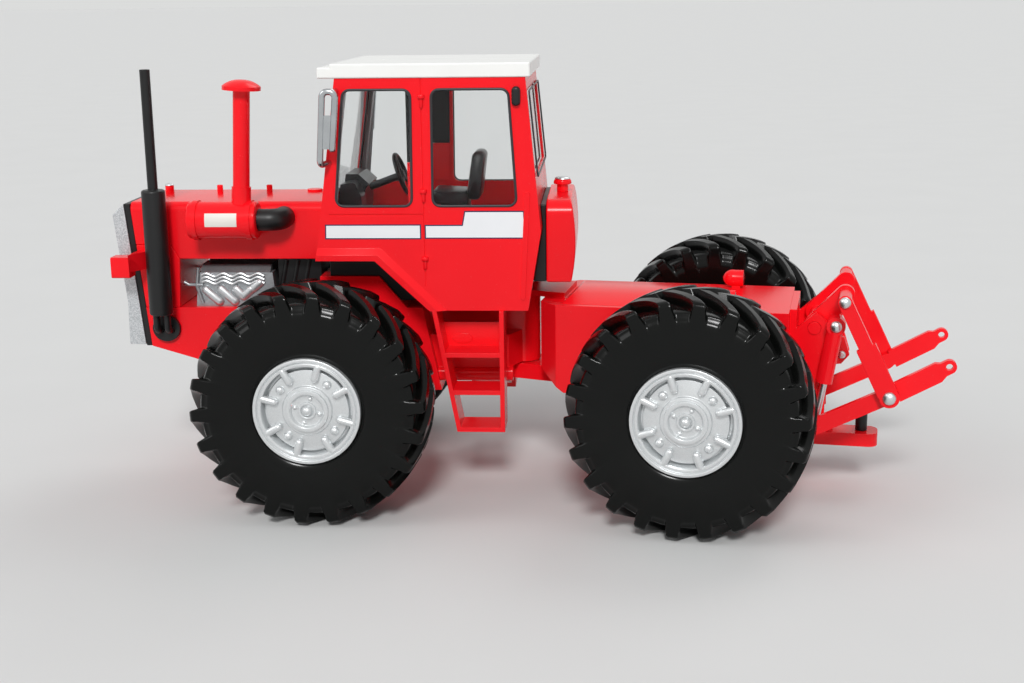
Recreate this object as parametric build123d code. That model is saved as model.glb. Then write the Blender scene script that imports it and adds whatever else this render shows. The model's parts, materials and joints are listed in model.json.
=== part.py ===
import os
from math import atan, atan2, cos, degrees, hypot, pi, radians, sin

from build123d import *

# Articulated four-wheel-drive tractor, a 1:32 die-cast model. Sizes in millimetres.
# Working frame: X from the front axle to the rear, Y from the left side to the right, Z up from the ground.

# Clearances
running_gap = 0.06
side_gap = 0.3
seat_gap = 0.03

# Wheels and axles
wheelbase = 92.0
track = 73.0
axle_radius = 2.0
axle_reach = 7.0
axle_housing_radius = 4.2

# Tyres: chevron lugs on both shoulders, half a pitch apart
tyre_radius = 27.6
tyre_width = 20.0
tread_depth = 2.7
lugs_per_side = 22
lug_turn = -5.7
lug_skew = 8.0
lug_top_width = 2.5
lug_floor_width = 3.7
lug_end_width = 4.6
lug_crown = 1.0
lug_end_depth = 6.9
shoulder_depth = 3.2
shoulder_inset = 1.1
sidewall_swell = 5.0
bead_roll = 1.4
bead_inset = 1.4

# Rims, measured outwards from the wheel's middle plane
rim_radius = 12.2
rim_inner_reach = 6.5
rim_outer_reach = 10.0
rim_wall = 1.1
flange_width = 0.7
groove_width = 0.45
groove_depth = 0.4
ring_width = 0.6
disc_radius = 9.35
disc_gap = 0.7
disc_face = 7.2
disc_gap_depth = 0.9
disc_thickness = 1.9
hub_radius = 5.8
hub_height = 0.55
cap_radius = 4.8
cap_height = 1.4
cap_ring_width = 0.9
recess_depth = 0.65
centre_radius = 1.95
centre_wall = 0.5
dome_radius = 1.2
dome_height = 0.9
stud_count = 8
stud_radius = 0.85
stud_inner = 7.0
stud_lift = 0.45
nut_count = 4
nut_circle = 7.6
nut_radius = 1.05
bolt_count = 4
bolt_circle = 2.85
bolt_radius = 0.5
bolt_height = 0.35
rim_turns = {"front": 29.5, "rear": 19.0}

# Steering pivot between the two halves
pivot_x = 46.0
rest_turn = -9.5
pivot_pin_radius = 1.6
pivot_pin_head = 2.4
pivot_boss_radius = 4.4
tongue_radius = 5.0
tongue_flare = 3.0
tongue_thickness = 1.4
lower_tongue_thickness = 3.8

# Front chassis
chassis_half_width = 13.0
chassis_bottom = 23.7
chassis_rear = 26.6
chassis_rear_top = 22.4
frame_top = 44.3
nose_bottom = 34.0
saddle_front = -2.4
saddle_rear = 12.0
saddle_top = 52.0
saddle_slope = 6.6
pivot_block_half_width = 10.0
pivot_block_bottom = 28.8
pivot_block_top = 37.0
pivot_neck_half_width = 5.0
pivot_plate_half_width = 11.5
pivot_plate_thickness = 3.3
pivot_plate_edge = 1.2

# Hood, nose and grille
hood_half_width = 13.0
hood_top = 70.1
hood_bottom = 56.3
hood_seam = 59.8
hood_rear = -1.4
hood_corner = 2.2
hood_wall = 1.2
nose_front_top = -48.2
nose_front_bottom = -44.9
nose_rear = -36.6
nose_rear_rake = 2.1
gasket_thickness = 1.5
grille_depth = 2.8
grille_bottom = 35.0
grille_waist = 46.0
grille_foot_flare = 1.2
grille_brow = 3.0
grille_border = 5.0
grille_slat_count = 9
grille_slot_depth = 0.9
knob_places = (-44.0, -31.0, -18.3)
knob_radii = (1.1, 0.75, 0.75)
knob_y = 6.5
knob_height = 1.8
lid_radius = 1.9
lid_height = 0.5

# Headlamps
headlamp_x = -48.9
headlamp_y = 18.6
headlamp_z = 55.5
headlamp_length = 4.4
headlamp_width = 4.6
headlamp_height = 5.0
lens_radius = 1.8
lens_depth = 0.8

# Engine insert and the parts behind it
engine_front = -33.6
engine_rear = -13.6
engine_half_width = 11.4
engine_top = 52.7
relief_proud = 0.6
rib_heights = (52.4, 51.5, 50.6)
rib_thickness = 0.45
rib_start = -31.6
rib_end = -16.6
rib_waves = 3.6
rib_swing = 0.35
pipe_radius = 0.65
manifold_pipes = (((-31.0, 48.4), (-27.8, 45.6)), ((-27.2, 48.6), (-24.0, 45.6)),
                  ((-23.4, 48.6), (-21.8, 46.9)),
                  ((-19.8, 48.6), (-21.6, 47.0)), ((-17.6, 50.2), (-19.2, 48.9)))
bracket_radius = 0.42
gearbox_half_width = 9.5
gearbox_top = 56.0
spine_half_width = 2.6
spine_top = 62.0

# Exhaust and intake on the left side
exhaust_x = -40.8
exhaust_y = -17.0
muffler_radius = 2.8
muffler_bottom = 43.4
muffler_top = 73.7
muffler_edge = 0.6
stack_radius = 1.2
stack_wall = 0.35
stack_top = 101.8
stack_bore_depth = 8.0
downpipe_radius = 0.85
downpipe_spacing = 2.6
flange_z = 39.2
flange_length = 3.4
flange_height = 3.2
flange_thickness = 1.2
cleaner_front = -32.0
cleaner_rear = -15.5
cleaner_radius = 4.4
cleaner_z = 66.6
cleaner_edge = 0.5
band_height = 0.35
band_width = 1.2
saddle_width = 1.6
intake_radius = 1.98
intake_top = 97.0
intake_foot_x = -19.6
intake_lean = 3.2
collar_height = 7.9
collar_wall = 0.3
cap_disc_radius = 4.5
cap_disc_rim = 0.9
cap_disc_height = 2.4
elbow_radius = 2.6
elbow_x = -10.4
elbow_bend = 2.8

# Cab
cab_half_width = 24.0
cab_wall = 1.2
cab_bottom = 46.0
cab_top = 99.7
floor_z = 59.1
floor_thickness = 1.2
fender_z = 57.9
fender_rise = 1.2
lip_width = 2.9
lip_proud = 1.0
lip_slope = 1.5
window_corner = 1.8
window_sill = 70.6
window_header = 2.6
front_window_sill = (4.2, 22.0)
front_window_head = (6.8, 22.3)
rear_window_sill = (26.8, 46.2)
rear_window_head = (27.0, 44.5)
screen_low = 72.5
screen_header = 2.7
screen_pillar = 2.2
rear_glass_low = 77.0
rear_glass_header = 3.2
rear_glass_pillar = 1.2
glass_thickness = 0.5
seam_x = 24.6
seam_low = 51.8
seam_width = 0.3
seam_depth = 0.3
crease_z = 68.5
strip_high = (48.6, 73.2)
strip_low = (47.4, 49.2)
strip_radius = 0.6
strip_proud = 0.35
roof_height = 3.3
roof_edge = 1.1
roof_overhang = 0.4
roof_front = 0.8
roof_rear = 1.2
visor_height = 2.6
visor_depth = 3.0
base_half_width = 12.4
base_front = 0.0
base_rear = 40.0

# Cab fittings
wheel_top = (14.65, 80.4)
wheel_bottom = (18.55, 69.8)
wheel_grip = 0.55
column_radius = 0.9
column_length = 8.6
console_depth = 10.2
console_top = 75.6
pod_top = 74.4
pod_inner = 3.4
pod_outer = 9.4
seat_x = 33.4
seat_half_width = 5.6
cushion_length = 9.0
cushion_bottom = 70.4
cushion_thickness = 3.2
pedestal_half_width = 4.0
back_height = 9.6
back_thickness = 3.0
back_rake = 2.2
mirror_reach = 4.0
mirror_drop = 2.7
mirror_height = 16.4
mirror_tube = 0.75
mirror_span = 3.0
mirror_ahead = 1.7
mirror_bend = 1.3
lamp_x = 46.3
lamp_drop = 3.0
lamp_length = 2.4
lamp_radius = 1.0
lamp_proud = 1.3

# Fuel tank behind the cab
tank_front = 52.6
tank_rear = 59.5
tank_bottom = 51.4
tank_top = 70.8
tank_half_width = 17.0
tank_corner = 3.5
tank_bulge = 1.0
tank_pad_inset = 1.0
filler_x = 56.0
filler_neck = 1.4
filler_height = 1.9
filler_cap = 2.2
filler_cap_height = 1.3

# Steps under the cab
step_outer = cab_half_width + 1.0
step_depth = 9.0
step_bar = 1.1
step_bottom = 16.7
step_front_top = 26.1
step_front_low = 31.5
step_rear = 42.9
tread_heights = (36.0, 26.9)
riser_top = 41.8
emboss_x = 32.4
emboss_size = (2.4, 1.2)

# Rear chassis and deck
rear_half_width = 16.0
rear_front = 53.0
rear_end = 112.0
rear_top = 46.0
rear_bottom = 24.5
rear_corner = 4.5
rear_chin = (59.3, 29.4)
hatch_front = 58.5
hatch_rear = 93.0
hatch_half_width = 14.3
hatch_slope = 2.0
hatch_side_slope = 6.4
hatch_height = 1.6
tail_lamp_x = 94.4
tail_lamp_length = 5.1
tail_lamp_radius = 2.05
tail_lamp_inset = 3.0

# Hitch tower and lift linkage, as points in the side view of the rear half
rocker_shaft = (117.7, 41.8)
lift_pin = (124.4, 49.6)
ram_pin = (122.6, 43.1)
link_pivot = (111.0, 15.7)
link_pin = (135.0, 27.9)
link_eye = (147.8, 35.3)
ram_anchor = (118.7, 19.3)
top_link_pin = (124.1, 33.8)
rocker_down_angle = -50.0
arm_inner = 7.4
arm_thickness = 1.6
plate_thickness = 1.8
ram_radius = 1.85
ram_bore = 1.0
ram_rod_radius = 0.8
ram_length = 13.8
ram_stroke = 4.9
link_thickness = 1.6
lift_rod_thickness = 1.8
shaft_radius = 1.5
shaft_proud = 0.3
pin_radius = 0.8
eye_radius = 0.75
drift_gap = 0.6
rivet_reach = 0.4
layer_gap = 0.25
ear_inner = 1.6
ear_thickness = 1.6
back_plate = 1.6

# Drawbar
drawbar_bottom = 11.4
drawbar_thickness = 3.2
drawbar_half_width = 3.6
drawbar_front = 99.0
drawbar_rear = 133.3
drawbar_corner = 2.4
hanger_length = 7.0
hanger_rake = 3.0
hitch_pin_x = 129.4
hitch_pin_radius = 1.4
hitch_pin_step = 0.2
hitch_pin_top = 19.8
keeper_share = 0.68
keeper_radius = 0.9
keeper_height = 2.6

# Layers of the linkage from the middle outwards, each clear of the last
tower_inner = arm_inner + arm_thickness + side_gap
tower_outer = tower_inner + plate_thickness
ram_centre = tower_outer + layer_gap + ram_radius
link_inner = ram_centre + ram_radius + layer_gap
lift_rod_inner = link_inner + link_thickness + layer_gap
step_inner = step_outer - step_depth
cleaner_y = -(hood_half_width + cleaner_radius + band_height + side_gap)
cab_inner = cab_half_width - cab_wall
window_top = cab_top - window_header

# Cab outline in side view, front edge then rear edge, from bottom to top
cab_front_low = (-0.9, fender_z)
cab_front_high = (5.0, cab_top)
cab_rear_low = (48.6, cab_bottom)
cab_rear_waist = (51.7, 64.6)
cab_rear_sill = (50.7, 75.4)
cab_rear_high = (48.4, cab_top)
arch_top = (13.0, fender_z)
arch_foot = (25.6, cab_bottom)

upward = (Align.CENTER, Align.CENTER, Align.MIN)


def outline(*points):
    """Flat face from a closed run of points."""
    return make_face(Polyline(*points, close=True))


def slab(face, y_from, y_to):
    """Solid with a side outline (X, Z), between two Y stations."""
    return extrude(Pos(0, y_to, 0) * (Plane.XZ * face), amount=y_to - y_from)


def plan(face, z_from, z_to):
    """Solid with a plan outline (X, Y), between two heights."""
    return extrude(Pos(0, 0, z_from) * face, amount=z_to - z_from)


def cross_rod(point, radius, y_from, y_to):
    """Round bar across the model at a side-view point."""
    return slab(Pos(*point) * Circle(radius), y_from, y_to)


def upright(x, y, radius, z_from, z_to):
    """Round bar standing at a plan point."""
    return plan(Pos(x, y) * Circle(radius), z_from, z_to)


def bar(start, end, radius):
    """Round bar with flat ends between two points."""
    length = (Vector(*end) - Vector(*start)).length
    return Plane(start, z_dir=Vector(*end) - Vector(*start)) * Cylinder(radius, length, align=upward)


def capsule(start, end, radius):
    """Round bar with ball ends between two points."""
    return bar(start, end, radius).fuse(Pos(*start) * Sphere(radius), Pos(*end) * Sphere(radius))


def bent_tube(points, bend, radius):
    """Round bar along straight runs joined by arcs."""
    path = FilletPolyline(*points, radius=bend)
    return sweep(Plane(path @ 0, z_dir=path % 0) * Circle(radius), path=path)


def taper_link(start, start_radius, end, end_radius):
    """Side-view face of a link with round ends of two sizes."""
    ends = Sketch() + (Pos(*start) * Circle(start_radius)) + (Pos(*end) * Circle(end_radius))
    return make_hull(ends.edges())


def both_sides(solid):
    """The left piece and its mirror image on the right, as one node."""
    return Compound(list(solid.solids()) + list(mirror(solid, about=Plane.XZ).solids()))


def line_x(z, low, high):
    """X on the straight line between two (X, Z) points at a height."""
    return low[0] + (high[0] - low[0]) * (z - low[1]) / (high[1] - low[1])


def nose_x(z):
    """Front edge of the red nose at a height."""
    return line_x(z, (nose_front_bottom, nose_bottom), (nose_front_top, hood_top))


def cab_front_x(z):
    """Front edge of the cab at a height."""
    return line_x(z, cab_front_low, cab_front_high)


def round_axle(radius, angle, y):
    """Point at a radius and an angle about the wheel's axis."""
    return Vector(radius * cos(angle), y, radius * sin(angle))


def lug_corners(side, step):
    """Corners of one lug: centre tip, outer end, outer foot, floor and shoulder, before and after its middle."""
    half = side * tyre_width / 2
    tread = tyre_radius - tread_depth
    outer = 2 * pi * (step + (0.5 if side > 0 else 0.0)) / lugs_per_side + radians(lug_turn)
    centre = outer + lug_skew / tyre_radius
    top = lug_top_width / 2 / tyre_radius
    floor = lug_floor_width / 2 / tyre_radius
    end = lug_end_width / 2 / tyre_radius
    stations = {
        "tip": (tyre_radius, centre, top, 0.0),
        "end": (tyre_radius - lug_crown, outer, top, half),
        "foot": (tyre_radius - lug_end_depth, outer, end, half),
        "floor": (tread, centre, floor, 0.0),
        "shoulder": (tyre_radius - shoulder_depth, outer, floor, half - side * shoulder_inset),
    }
    corners = {"outer": (outer - end, outer + end)}
    for name, (radius, middle, spread, y) in stations.items():
        corners[name] = (round_axle(radius, middle - spread, y), round_axle(radius, middle + spread, y))
    return corners


def sidewall_rings(side):
    """Radius and Y of the sidewall below the lugs: the flat wall, the roll to the bead, and the bead."""
    half = side * tyre_width / 2
    bead = rim_radius / cos(lug_end_width / 2 / tyre_radius)
    return [(tyre_radius - lug_end_depth, half), (bead + sidewall_swell, half),
            (bead + bead_roll, half - side * bead_inset / 3), (bead, half - side * bead_inset)]


def tyre():
    """Traction tyre of flat facets: lugs, tread floor, sidewalls and the seat for the rim."""
    lugs = {side: [lug_corners(side, step) for step in range(lugs_per_side)] for side in (1, -1)}
    polygons = []
    for side in (1, -1):
        rings = sidewall_rings(side)
        for step in range(lugs_per_side):
            here = lugs[side][step]
            after = lugs[side][(step + 1) % lugs_per_side]
            between = lugs[-side][(step + 1) % lugs_per_side if side > 0 else step]
            for edge in (0, 1):
                tip, end, foot, floor, shoulder = (here[name][edge] for name in
                                                   ("tip", "end", "foot", "floor", "shoulder"))
                polygons += [(tip, floor, shoulder), (tip, shoulder, end), (end, shoulder, foot)]
            polygons += [(*here["tip"], here["end"][1]), (here["tip"][0], here["end"][1], here["end"][0]),
                         (*here["end"], here["foot"][1], here["foot"][0]),
                         (*here["floor"], here["tip"][1], here["tip"][0]),
                         (here["shoulder"][1], here["floor"][1], between["floor"][0]),
                         (here["shoulder"][1], *between["floor"]),
                         (here["shoulder"][1], between["floor"][1], after["shoulder"][0]),
                         (after["shoulder"][0], between["floor"][1], after["floor"][0]),
                         (here["shoulder"][1], after["shoulder"][0], after["foot"][0], here["foot"][1])]
            spans = (here["outer"], (here["outer"][1], here["outer"][0] + 2 * pi / lugs_per_side))
            for start, stop in spans:
                for (r_high, y_high), (r_low, y_low) in zip(rings, rings[1:]):
                    polygons.append((round_axle(r_high, start, y_high), round_axle(r_high, stop, y_high),
                                     round_axle(r_low, stop, y_low), round_axle(r_low, start, y_low)))
    radius, y = sidewall_rings(1)[-1]
    for step in range(lugs_per_side):
        near = lugs[1][step]["outer"]
        far = (lugs[-1][step]["outer"][1], lugs[-1][step]["outer"][0] + 2 * pi / lugs_per_side)
        near_next = near[0] + 2 * pi / lugs_per_side
        far_next = far[0] + 2 * pi / lugs_per_side
        a, b, c = (round_axle(radius, angle, y) for angle in (*near, near_next))
        d, e, f = (round_axle(radius, angle, -y) for angle in (*far, far_next))
        polygons += [(d, a, b), (d, b, e), (e, b, c), (e, c, f)]
    return Solid(Shell([Face(Wire.make_polygon(points)) for points in polygons]))


def rim():
    """Cast rim, outward along +Y: flange, ring, a gap round the disc, studs, nuts and a stepped hub."""
    bore = axle_radius + running_gap
    bore_end = axle_reach + side_gap
    outer = rim_radius - seat_gap
    inner_wall = rim_radius - rim_wall
    disc_back = disc_face - disc_thickness
    flange = outer - flange_width
    ring = flange - groove_width
    ring_face = rim_outer_reach - groove_depth / 2
    hub_face = disc_face + hub_height
    cap_face = disc_face + cap_height
    recess = cap_face - recess_depth
    cap_inner = cap_radius - cap_ring_width
    edge = Polyline(
        (0, recess), (0, bore_end), (bore, bore_end), (bore, -rim_inner_reach), (hub_radius,
                                                                                 -rim_inner_reach),
        (hub_radius, disc_back), (inner_wall, disc_back), (inner_wall, -rim_inner_reach), (outer,
                                                                                           -rim_inner_reach),
        (outer, rim_outer_reach), (flange, rim_outer_reach), (flange - groove_width / 2,
                                                              rim_outer_reach - groove_depth),
        (ring, ring_face), (ring - ring_width, ring_face), (disc_radius + disc_gap,
                                                            disc_face - disc_gap_depth),
        (disc_radius, disc_face - disc_gap_depth), (disc_radius, disc_face), (hub_radius, disc_face),
        (hub_radius - hub_height / 2, hub_face), (cap_radius, hub_face), (cap_radius,
                                                                          cap_face), (cap_inner, cap_face),
        (cap_inner - recess_depth / 2, recess), (centre_radius, recess), (centre_radius, cap_face),
        (centre_radius - centre_wall, cap_face), (dome_radius, recess), close=True)
    disc = revolve(make_face(edge), Axis.Y)
    dome = Pos(0, recess, 0) * scale(Sphere(dome_radius),
                                     (1, (recess_depth + dome_height / 2) / dome_radius, 1))
    dome &= Pos(0, recess - seat_gap, 0) * (Rot(-90, 0, 0) * Cylinder(dome_radius, cap_height, align=upward))
    level = disc_face + stud_lift
    stud = bar((stud_inner + stud_radius, level, 0), (ring - ring_width / 2, level, 0), stud_radius)
    stud += Pos(stud_inner + stud_radius, level, 0) * Sphere(stud_radius)
    nut = Pos(nut_circle, disc_face, 0) * Sphere(nut_radius)
    bolt = bar((bolt_circle, recess - seat_gap, 0), (bolt_circle, recess + bolt_height, 0), bolt_radius)
    studs = [Rot(0, 360 / stud_count * step, 0) * stud for step in range(stud_count)]
    nuts = [Rot(0, 360 / nut_count * step + 180 / stud_count, 0) * nut for step in range(nut_count)]
    bolts = [Rot(0, 360 / bolt_count * step + 180 / bolt_count, 0) * bolt for step in range(bolt_count)]
    return disc.fuse(dome, *studs, *nuts, *bolts)


def axle_halves(inner):
    """Axle housings from the chassis sides to the wheels, with the stubs that the wheels turn on."""
    shoulder = track / 2 - rim_inner_reach - side_gap
    centre = (0, tyre_radius)
    housing = cross_rod(centre, axle_housing_radius, inner, shoulder)
    stub = cross_rod(centre, axle_radius, inner, track / 2 + axle_reach)
    return both_sides(housing + stub)


def front_chassis():
    """Front casting: belly, frame rails, the saddle under the cab, and the steering pivot's block and plate."""
    chin = nose_bottom + 0.6
    body = slab(outline((nose_x(chin), chin), (nose_rear + 2.1, 31.5), (-14.0, chassis_bottom),
                        (chassis_rear, chassis_bottom), (chassis_rear_top, frame_top),
                        (saddle_rear + saddle_slope, frame_top), (saddle_rear, saddle_top),
                        (saddle_front, saddle_top),
                        (saddle_front, frame_top), (nose_x(frame_top), frame_top)),
                -chassis_half_width, chassis_half_width)
    neck_top = rear_top - side_gap
    start = chassis_rear_top - 4
    block = plan(outline((start, -pivot_block_half_width), (pivot_x - 3, -pivot_block_half_width),
                         (pivot_x, -pivot_boss_radius), (pivot_x, pivot_boss_radius),
                         (pivot_x - 3, pivot_block_half_width), (start, pivot_block_half_width)),
                 pivot_block_bottom, pivot_block_top)
    neck = plan(outline((start, -pivot_neck_half_width), (pivot_x - 3, -pivot_boss_radius),
                        (pivot_x, -pivot_boss_radius),
                        (pivot_x, pivot_boss_radius), (pivot_x - 3, pivot_boss_radius),
                        (start, pivot_neck_half_width)),
                pivot_block_bottom, neck_top)
    boss = upright(pivot_x, 0, pivot_boss_radius, pivot_block_bottom, neck_top)
    plate_rear = pivot_x - 2
    plate = plan(outline((start, -pivot_plate_half_width), (plate_rear, -pivot_plate_half_width),
                         (plate_rear, pivot_plate_half_width), (start, pivot_plate_half_width)),
                 pivot_block_bottom - pivot_plate_thickness, pivot_block_bottom)
    plate = fillet(plate.edges().filter_by(Axis.X), pivot_plate_edge)
    plate -= upright(pivot_x, 0, tongue_radius + 2 * side_gap, 0, pivot_block_bottom)
    bore = upright(pivot_x, 0, pivot_pin_radius + running_gap, pivot_block_bottom - 1, neck_top + 1)
    return body + block + neck + boss + plate - bore


def wave_rib(height):
    """Side-view face of one wavy rib."""
    count = round(4 * rib_waves)
    upper = []
    for step in range(count + 1):
        x = rib_start + (rib_end - rib_start) * step / count
        upper.append((x, height + rib_swing * sin(2 * pi * rib_waves * step / count)))
    lower = [(x, z - rib_thickness) for x, z in upper]
    return make_face([Spline(*upper), Spline(*lower), Line(upper[0], lower[0]), Line(upper[-1], lower[-1])])


def engine_block():
    """Engine insert with the relief of its sides: wavy ribs, manifold pipes and the front bracket."""
    block = slab(outline((engine_front, frame_top), (engine_rear, frame_top),
                         (engine_rear - 0.8, engine_top),
                         (engine_front + 0.8, engine_top)), -engine_half_width, engine_half_width)
    face = -engine_half_width
    ribs = [slab(wave_rib(height), face - relief_proud, face + 0.2) for height in rib_heights]
    pipes = [capsule((x1, face, z1), (x2, face, z2), pipe_radius) for (x1, z1), (x2, z2) in manifold_pipes]
    level = face - bracket_radius / 2
    post = bent_tube([(engine_front + 1.0, level, engine_top + 1.2), (engine_front + 0.4, level, 49.2),
                      (engine_front + 1.7, level, frame_top + 0.8)], 1.5, bracket_radius)
    arm = bent_tube([(nose_rear + 0.3, level, 50.4), (nose_rear + 1.4, level, 49.7),
                     (engine_front + 2.0, level, 49.7)],
                    0.6, bracket_radius)
    relief = ribs[0].fuse(*ribs[1:], *pipes, post, arm)
    return block.fuse(relief, mirror(relief, about=Plane.XZ))


def transmission():
    """Black housing behind the engine, with the spine that runs forward over it under the hood."""
    rear = saddle_front - side_gap
    front = engine_rear + side_gap
    housing = slab(outline((front, frame_top), (rear, frame_top), (rear, gearbox_top), (front, gearbox_top)),
                   -gearbox_half_width, gearbox_half_width)
    spine = slab(outline((engine_front + 1.4, engine_top), (rear, engine_top), (rear, spine_top),
                         (engine_front + 1.4, spine_top)), -spine_half_width, spine_half_width)
    hoses = [bar((x, -gearbox_half_width + 0.4, gearbox_top - 0.5), (x - 1.6, -gearbox_half_width + 0.4,
                                                                     frame_top + 4),
                 0.7) for x in (front + 2.2, front + 5.0, front + 7.8)]
    return housing.fuse(spine, *hoses)


def nose_panels():
    """Radiator shroud behind the grille, from the frame up to the hood."""
    return slab(outline((nose_x(frame_top), frame_top), (nose_rear - 0.7, frame_top),
                        (nose_rear, hood_bottom),
                        (nose_rear - nose_rear_rake, hood_seam), (nose_x(hood_seam), hood_seam)),
                -chassis_half_width, chassis_half_width)


def hood_section(shrink):
    """Cross-section of the hood, open below, as a face in (Y, Z)."""
    half = hood_half_width - shrink
    top = hood_top - shrink
    face = outline((-half, hood_bottom - 2), (half, hood_bottom - 2), (half, top), (-half, top))
    corners = [vertex for vertex in face.vertices() if vertex.Y > top - 1]
    return fillet(corners, hood_corner - min(shrink, hood_corner / 2))


def hood():
    """Hood shell with rounded shoulders, cut to the slant of the nose and to the side panels' line."""
    length = hood_rear - nose_front_top + 4
    start = Plane.YZ.offset(nose_front_top - 2)
    shell = extrude(start * hood_section(0), amount=length) - extrude(start * hood_section(hood_wall),
                                                                      amount=length)
    side = slab(outline((nose_x(hood_top), hood_top), (hood_rear + 0.4, hood_top), (hood_rear, hood_bottom),
                        (nose_rear, hood_bottom), (nose_rear - nose_rear_rake, hood_seam),
                        (nose_x(hood_seam), hood_seam)), -hood_half_width, hood_half_width)
    return shell & side


def grille_gasket():
    """Black seal between the grille and the red nose, following the nose's front edge."""
    high = hood_top - side_gap
    low = nose_bottom + 2 * side_gap
    half = hood_half_width - 0.2
    return slab(outline((nose_x(high) - gasket_thickness, high), (nose_x(high), high), (nose_x(low), low),
                        (nose_x(low) - gasket_thickness, low)), -half, half)


def grille_front(z):
    """Front line of the grille at a height: hollow at the waist, flared at the foot."""
    waist = (nose_x(grille_waist) - gasket_thickness - grille_depth, grille_waist)
    if z < grille_waist:
        foot = nose_x(grille_bottom) - gasket_thickness - grille_depth - grille_foot_flare
        return line_x(z, (foot, grille_bottom), waist)
    brow = hood_top - grille_brow
    return line_x(z, waist, (nose_x(hood_top) - gasket_thickness - grille_depth, brow))


def grille():
    """Cast grille with a sloped brow, a hollow front line and a field of slots."""
    top = hood_top - side_gap
    brow = hood_top - grille_brow
    body = slab(outline((nose_x(top) - gasket_thickness, top), (nose_x(grille_bottom) - gasket_thickness,
                                                                grille_bottom),
                        (grille_front(grille_bottom), grille_bottom), (grille_front(grille_waist),
                                                                       grille_waist),
                        (grille_front(brow), brow)), -hood_half_width, hood_half_width)
    pitch = (brow - grille_bottom - 1.4 * grille_border) / grille_slat_count
    half = 0.76 * hood_half_width
    slots = []
    for step in range(grille_slat_count):
        low = grille_bottom + grille_border + pitch * (step + 0.2)
        high = low + 0.55 * pitch
        slots.append(slab(outline((grille_front(low) - 2, low), (grille_front(low) + grille_slot_depth, low),
                                  (grille_front(high) + grille_slot_depth, high),
                                  (grille_front(high) - 2, high)),
                          -half, half))
    return body - slots


def headlamps():
    """Lamp boxes with a pocket for the lens, on arms from the nose."""
    front = headlamp_x - headlamp_length / 2
    rear = headlamp_x + headlamp_length / 2
    outer = headlamp_y + headlamp_width / 2 - 0.1
    inner = headlamp_y - headlamp_width / 2 + 0.1
    box = Pos(headlamp_x, -headlamp_y, headlamp_z) * Box(headlamp_length, headlamp_width, headlamp_height)
    box = fillet(box.edges().filter_by(Axis.X), 0.5)
    pocket = bar((front, -headlamp_y, headlamp_z), (front + lens_depth, -headlamp_y, headlamp_z),
                 lens_radius + seat_gap)
    half = chassis_half_width
    arm = plan(outline((rear - 0.1, -outer), (rear - 0.1, -inner), (rear + 0.5, -half), (rear + 4.1, -half),
                       (rear + 3.7, -half - 0.7), (rear + 2.1, -inner - 0.2)), headlamp_z - 1.1,
                       headlamp_z + 3.1)
    return both_sides(box + arm - pocket)


def headlamp_lenses():
    """Round lenses seated in the lamp boxes, a little below their rims."""
    front = headlamp_x - headlamp_length / 2
    return both_sides(bar((front + 0.1, -headlamp_y, headlamp_z), (front + lens_depth, -headlamp_y,
                                                                   headlamp_z),
                          lens_radius))


def hood_fittings():
    """Three filler knobs and a low lid on the hood."""
    pieces = [upright(x, knob_y, radius, hood_top, hood_top + knob_height)
              for x, radius in zip(knob_places, knob_radii)]
    pieces = [fillet(piece.faces().sort_by(Axis.Z)[-1].edges(), 0.3) for piece in pieces]
    pieces.append(upright(hood_rear - 5.6, knob_y + 1.5, lid_radius, hood_top, hood_top + lid_height))
    return Compound([piece.solid() for piece in pieces])


def exhaust():
    """Upright muffler with its open stack, and two down-pipes to a flange on the chassis side."""
    body = upright(exhaust_x, exhaust_y, muffler_radius, muffler_bottom, muffler_top)
    body = fillet(body.edges().filter_by(GeomType.CIRCLE), muffler_edge)
    stack = upright(exhaust_x, exhaust_y, stack_radius, muffler_bottom + 1, stack_top)
    bore = upright(exhaust_x, exhaust_y, stack_radius - stack_wall, stack_top - stack_bore_depth,
                   stack_top + 1)
    side = -chassis_half_width
    flange = slab(Pos(exhaust_x, flange_z) * Ellipse(flange_length, flange_height),
                  side - flange_thickness, side)
    pipes = []
    for hand in (-1, 1):
        x = exhaust_x + hand * downpipe_spacing / 2
        pipes.append(bent_tube([(x, exhaust_y, muffler_bottom + 1), (x, exhaust_y, flange_z + 0.2),
                                (x, side - flange_thickness / 2, flange_z - 0.4)], 1.6, downpipe_radius))
    return body.fuse(stack, flange, *pipes) - bore


def air_cleaner():
    """Canister beside the hood with end bands, carried on two saddles."""
    length = cleaner_rear - cleaner_front
    axis = Pos(cleaner_front, cleaner_y, cleaner_z) * Rot(0, 90, 0)
    can = Cylinder(cleaner_radius, length, align=upward)
    can = axis * fillet(can.edges().filter_by(GeomType.CIRCLE), cleaner_edge)
    bands = [axis * (Pos(0, 0, z) * Cylinder(cleaner_radius + band_height, band_width, align=upward))
             for z in (band_width, length - 2 * band_width)]
    reach = -cleaner_y - hood_half_width
    saddles = [Pos(cleaner_front + share * length, -hood_half_width - reach / 2,
                   cleaner_z - 0.73 * cleaner_radius)
               * Box(saddle_width, reach, 0.55 * cleaner_radius) for share in (0.22, 0.78)]
    return can.fuse(*bands, *saddles)


def intake_stack():
    """Leaning intake pipe with its collar and mushroom cap, standing on the canister."""
    height = intake_top - cleaner_z
    pipe = Cylinder(intake_radius, height, align=upward)
    pipe += Cylinder(intake_radius + collar_wall, collar_height, align=upward)
    cap = Pos(0, 0, height) * revolve(Plane.XZ * make_face(
        Polyline((cap_disc_radius, cap_disc_rim), (cap_disc_radius, 0), (0, 0), (0, cap_disc_height))
        + ThreePointArc((0, cap_disc_height), (0.62 * cap_disc_radius, 0.82 * cap_disc_height),
                        (cap_disc_radius, cap_disc_rim))), Axis.Z)
    stack = Pos(intake_foot_x, cleaner_y, cleaner_z) * (Rot(0, intake_lean, 0) * (pipe + cap))
    above = stack - air_cleaner()
    return above.solids().sort_by(Axis.Z)[-1]


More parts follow.
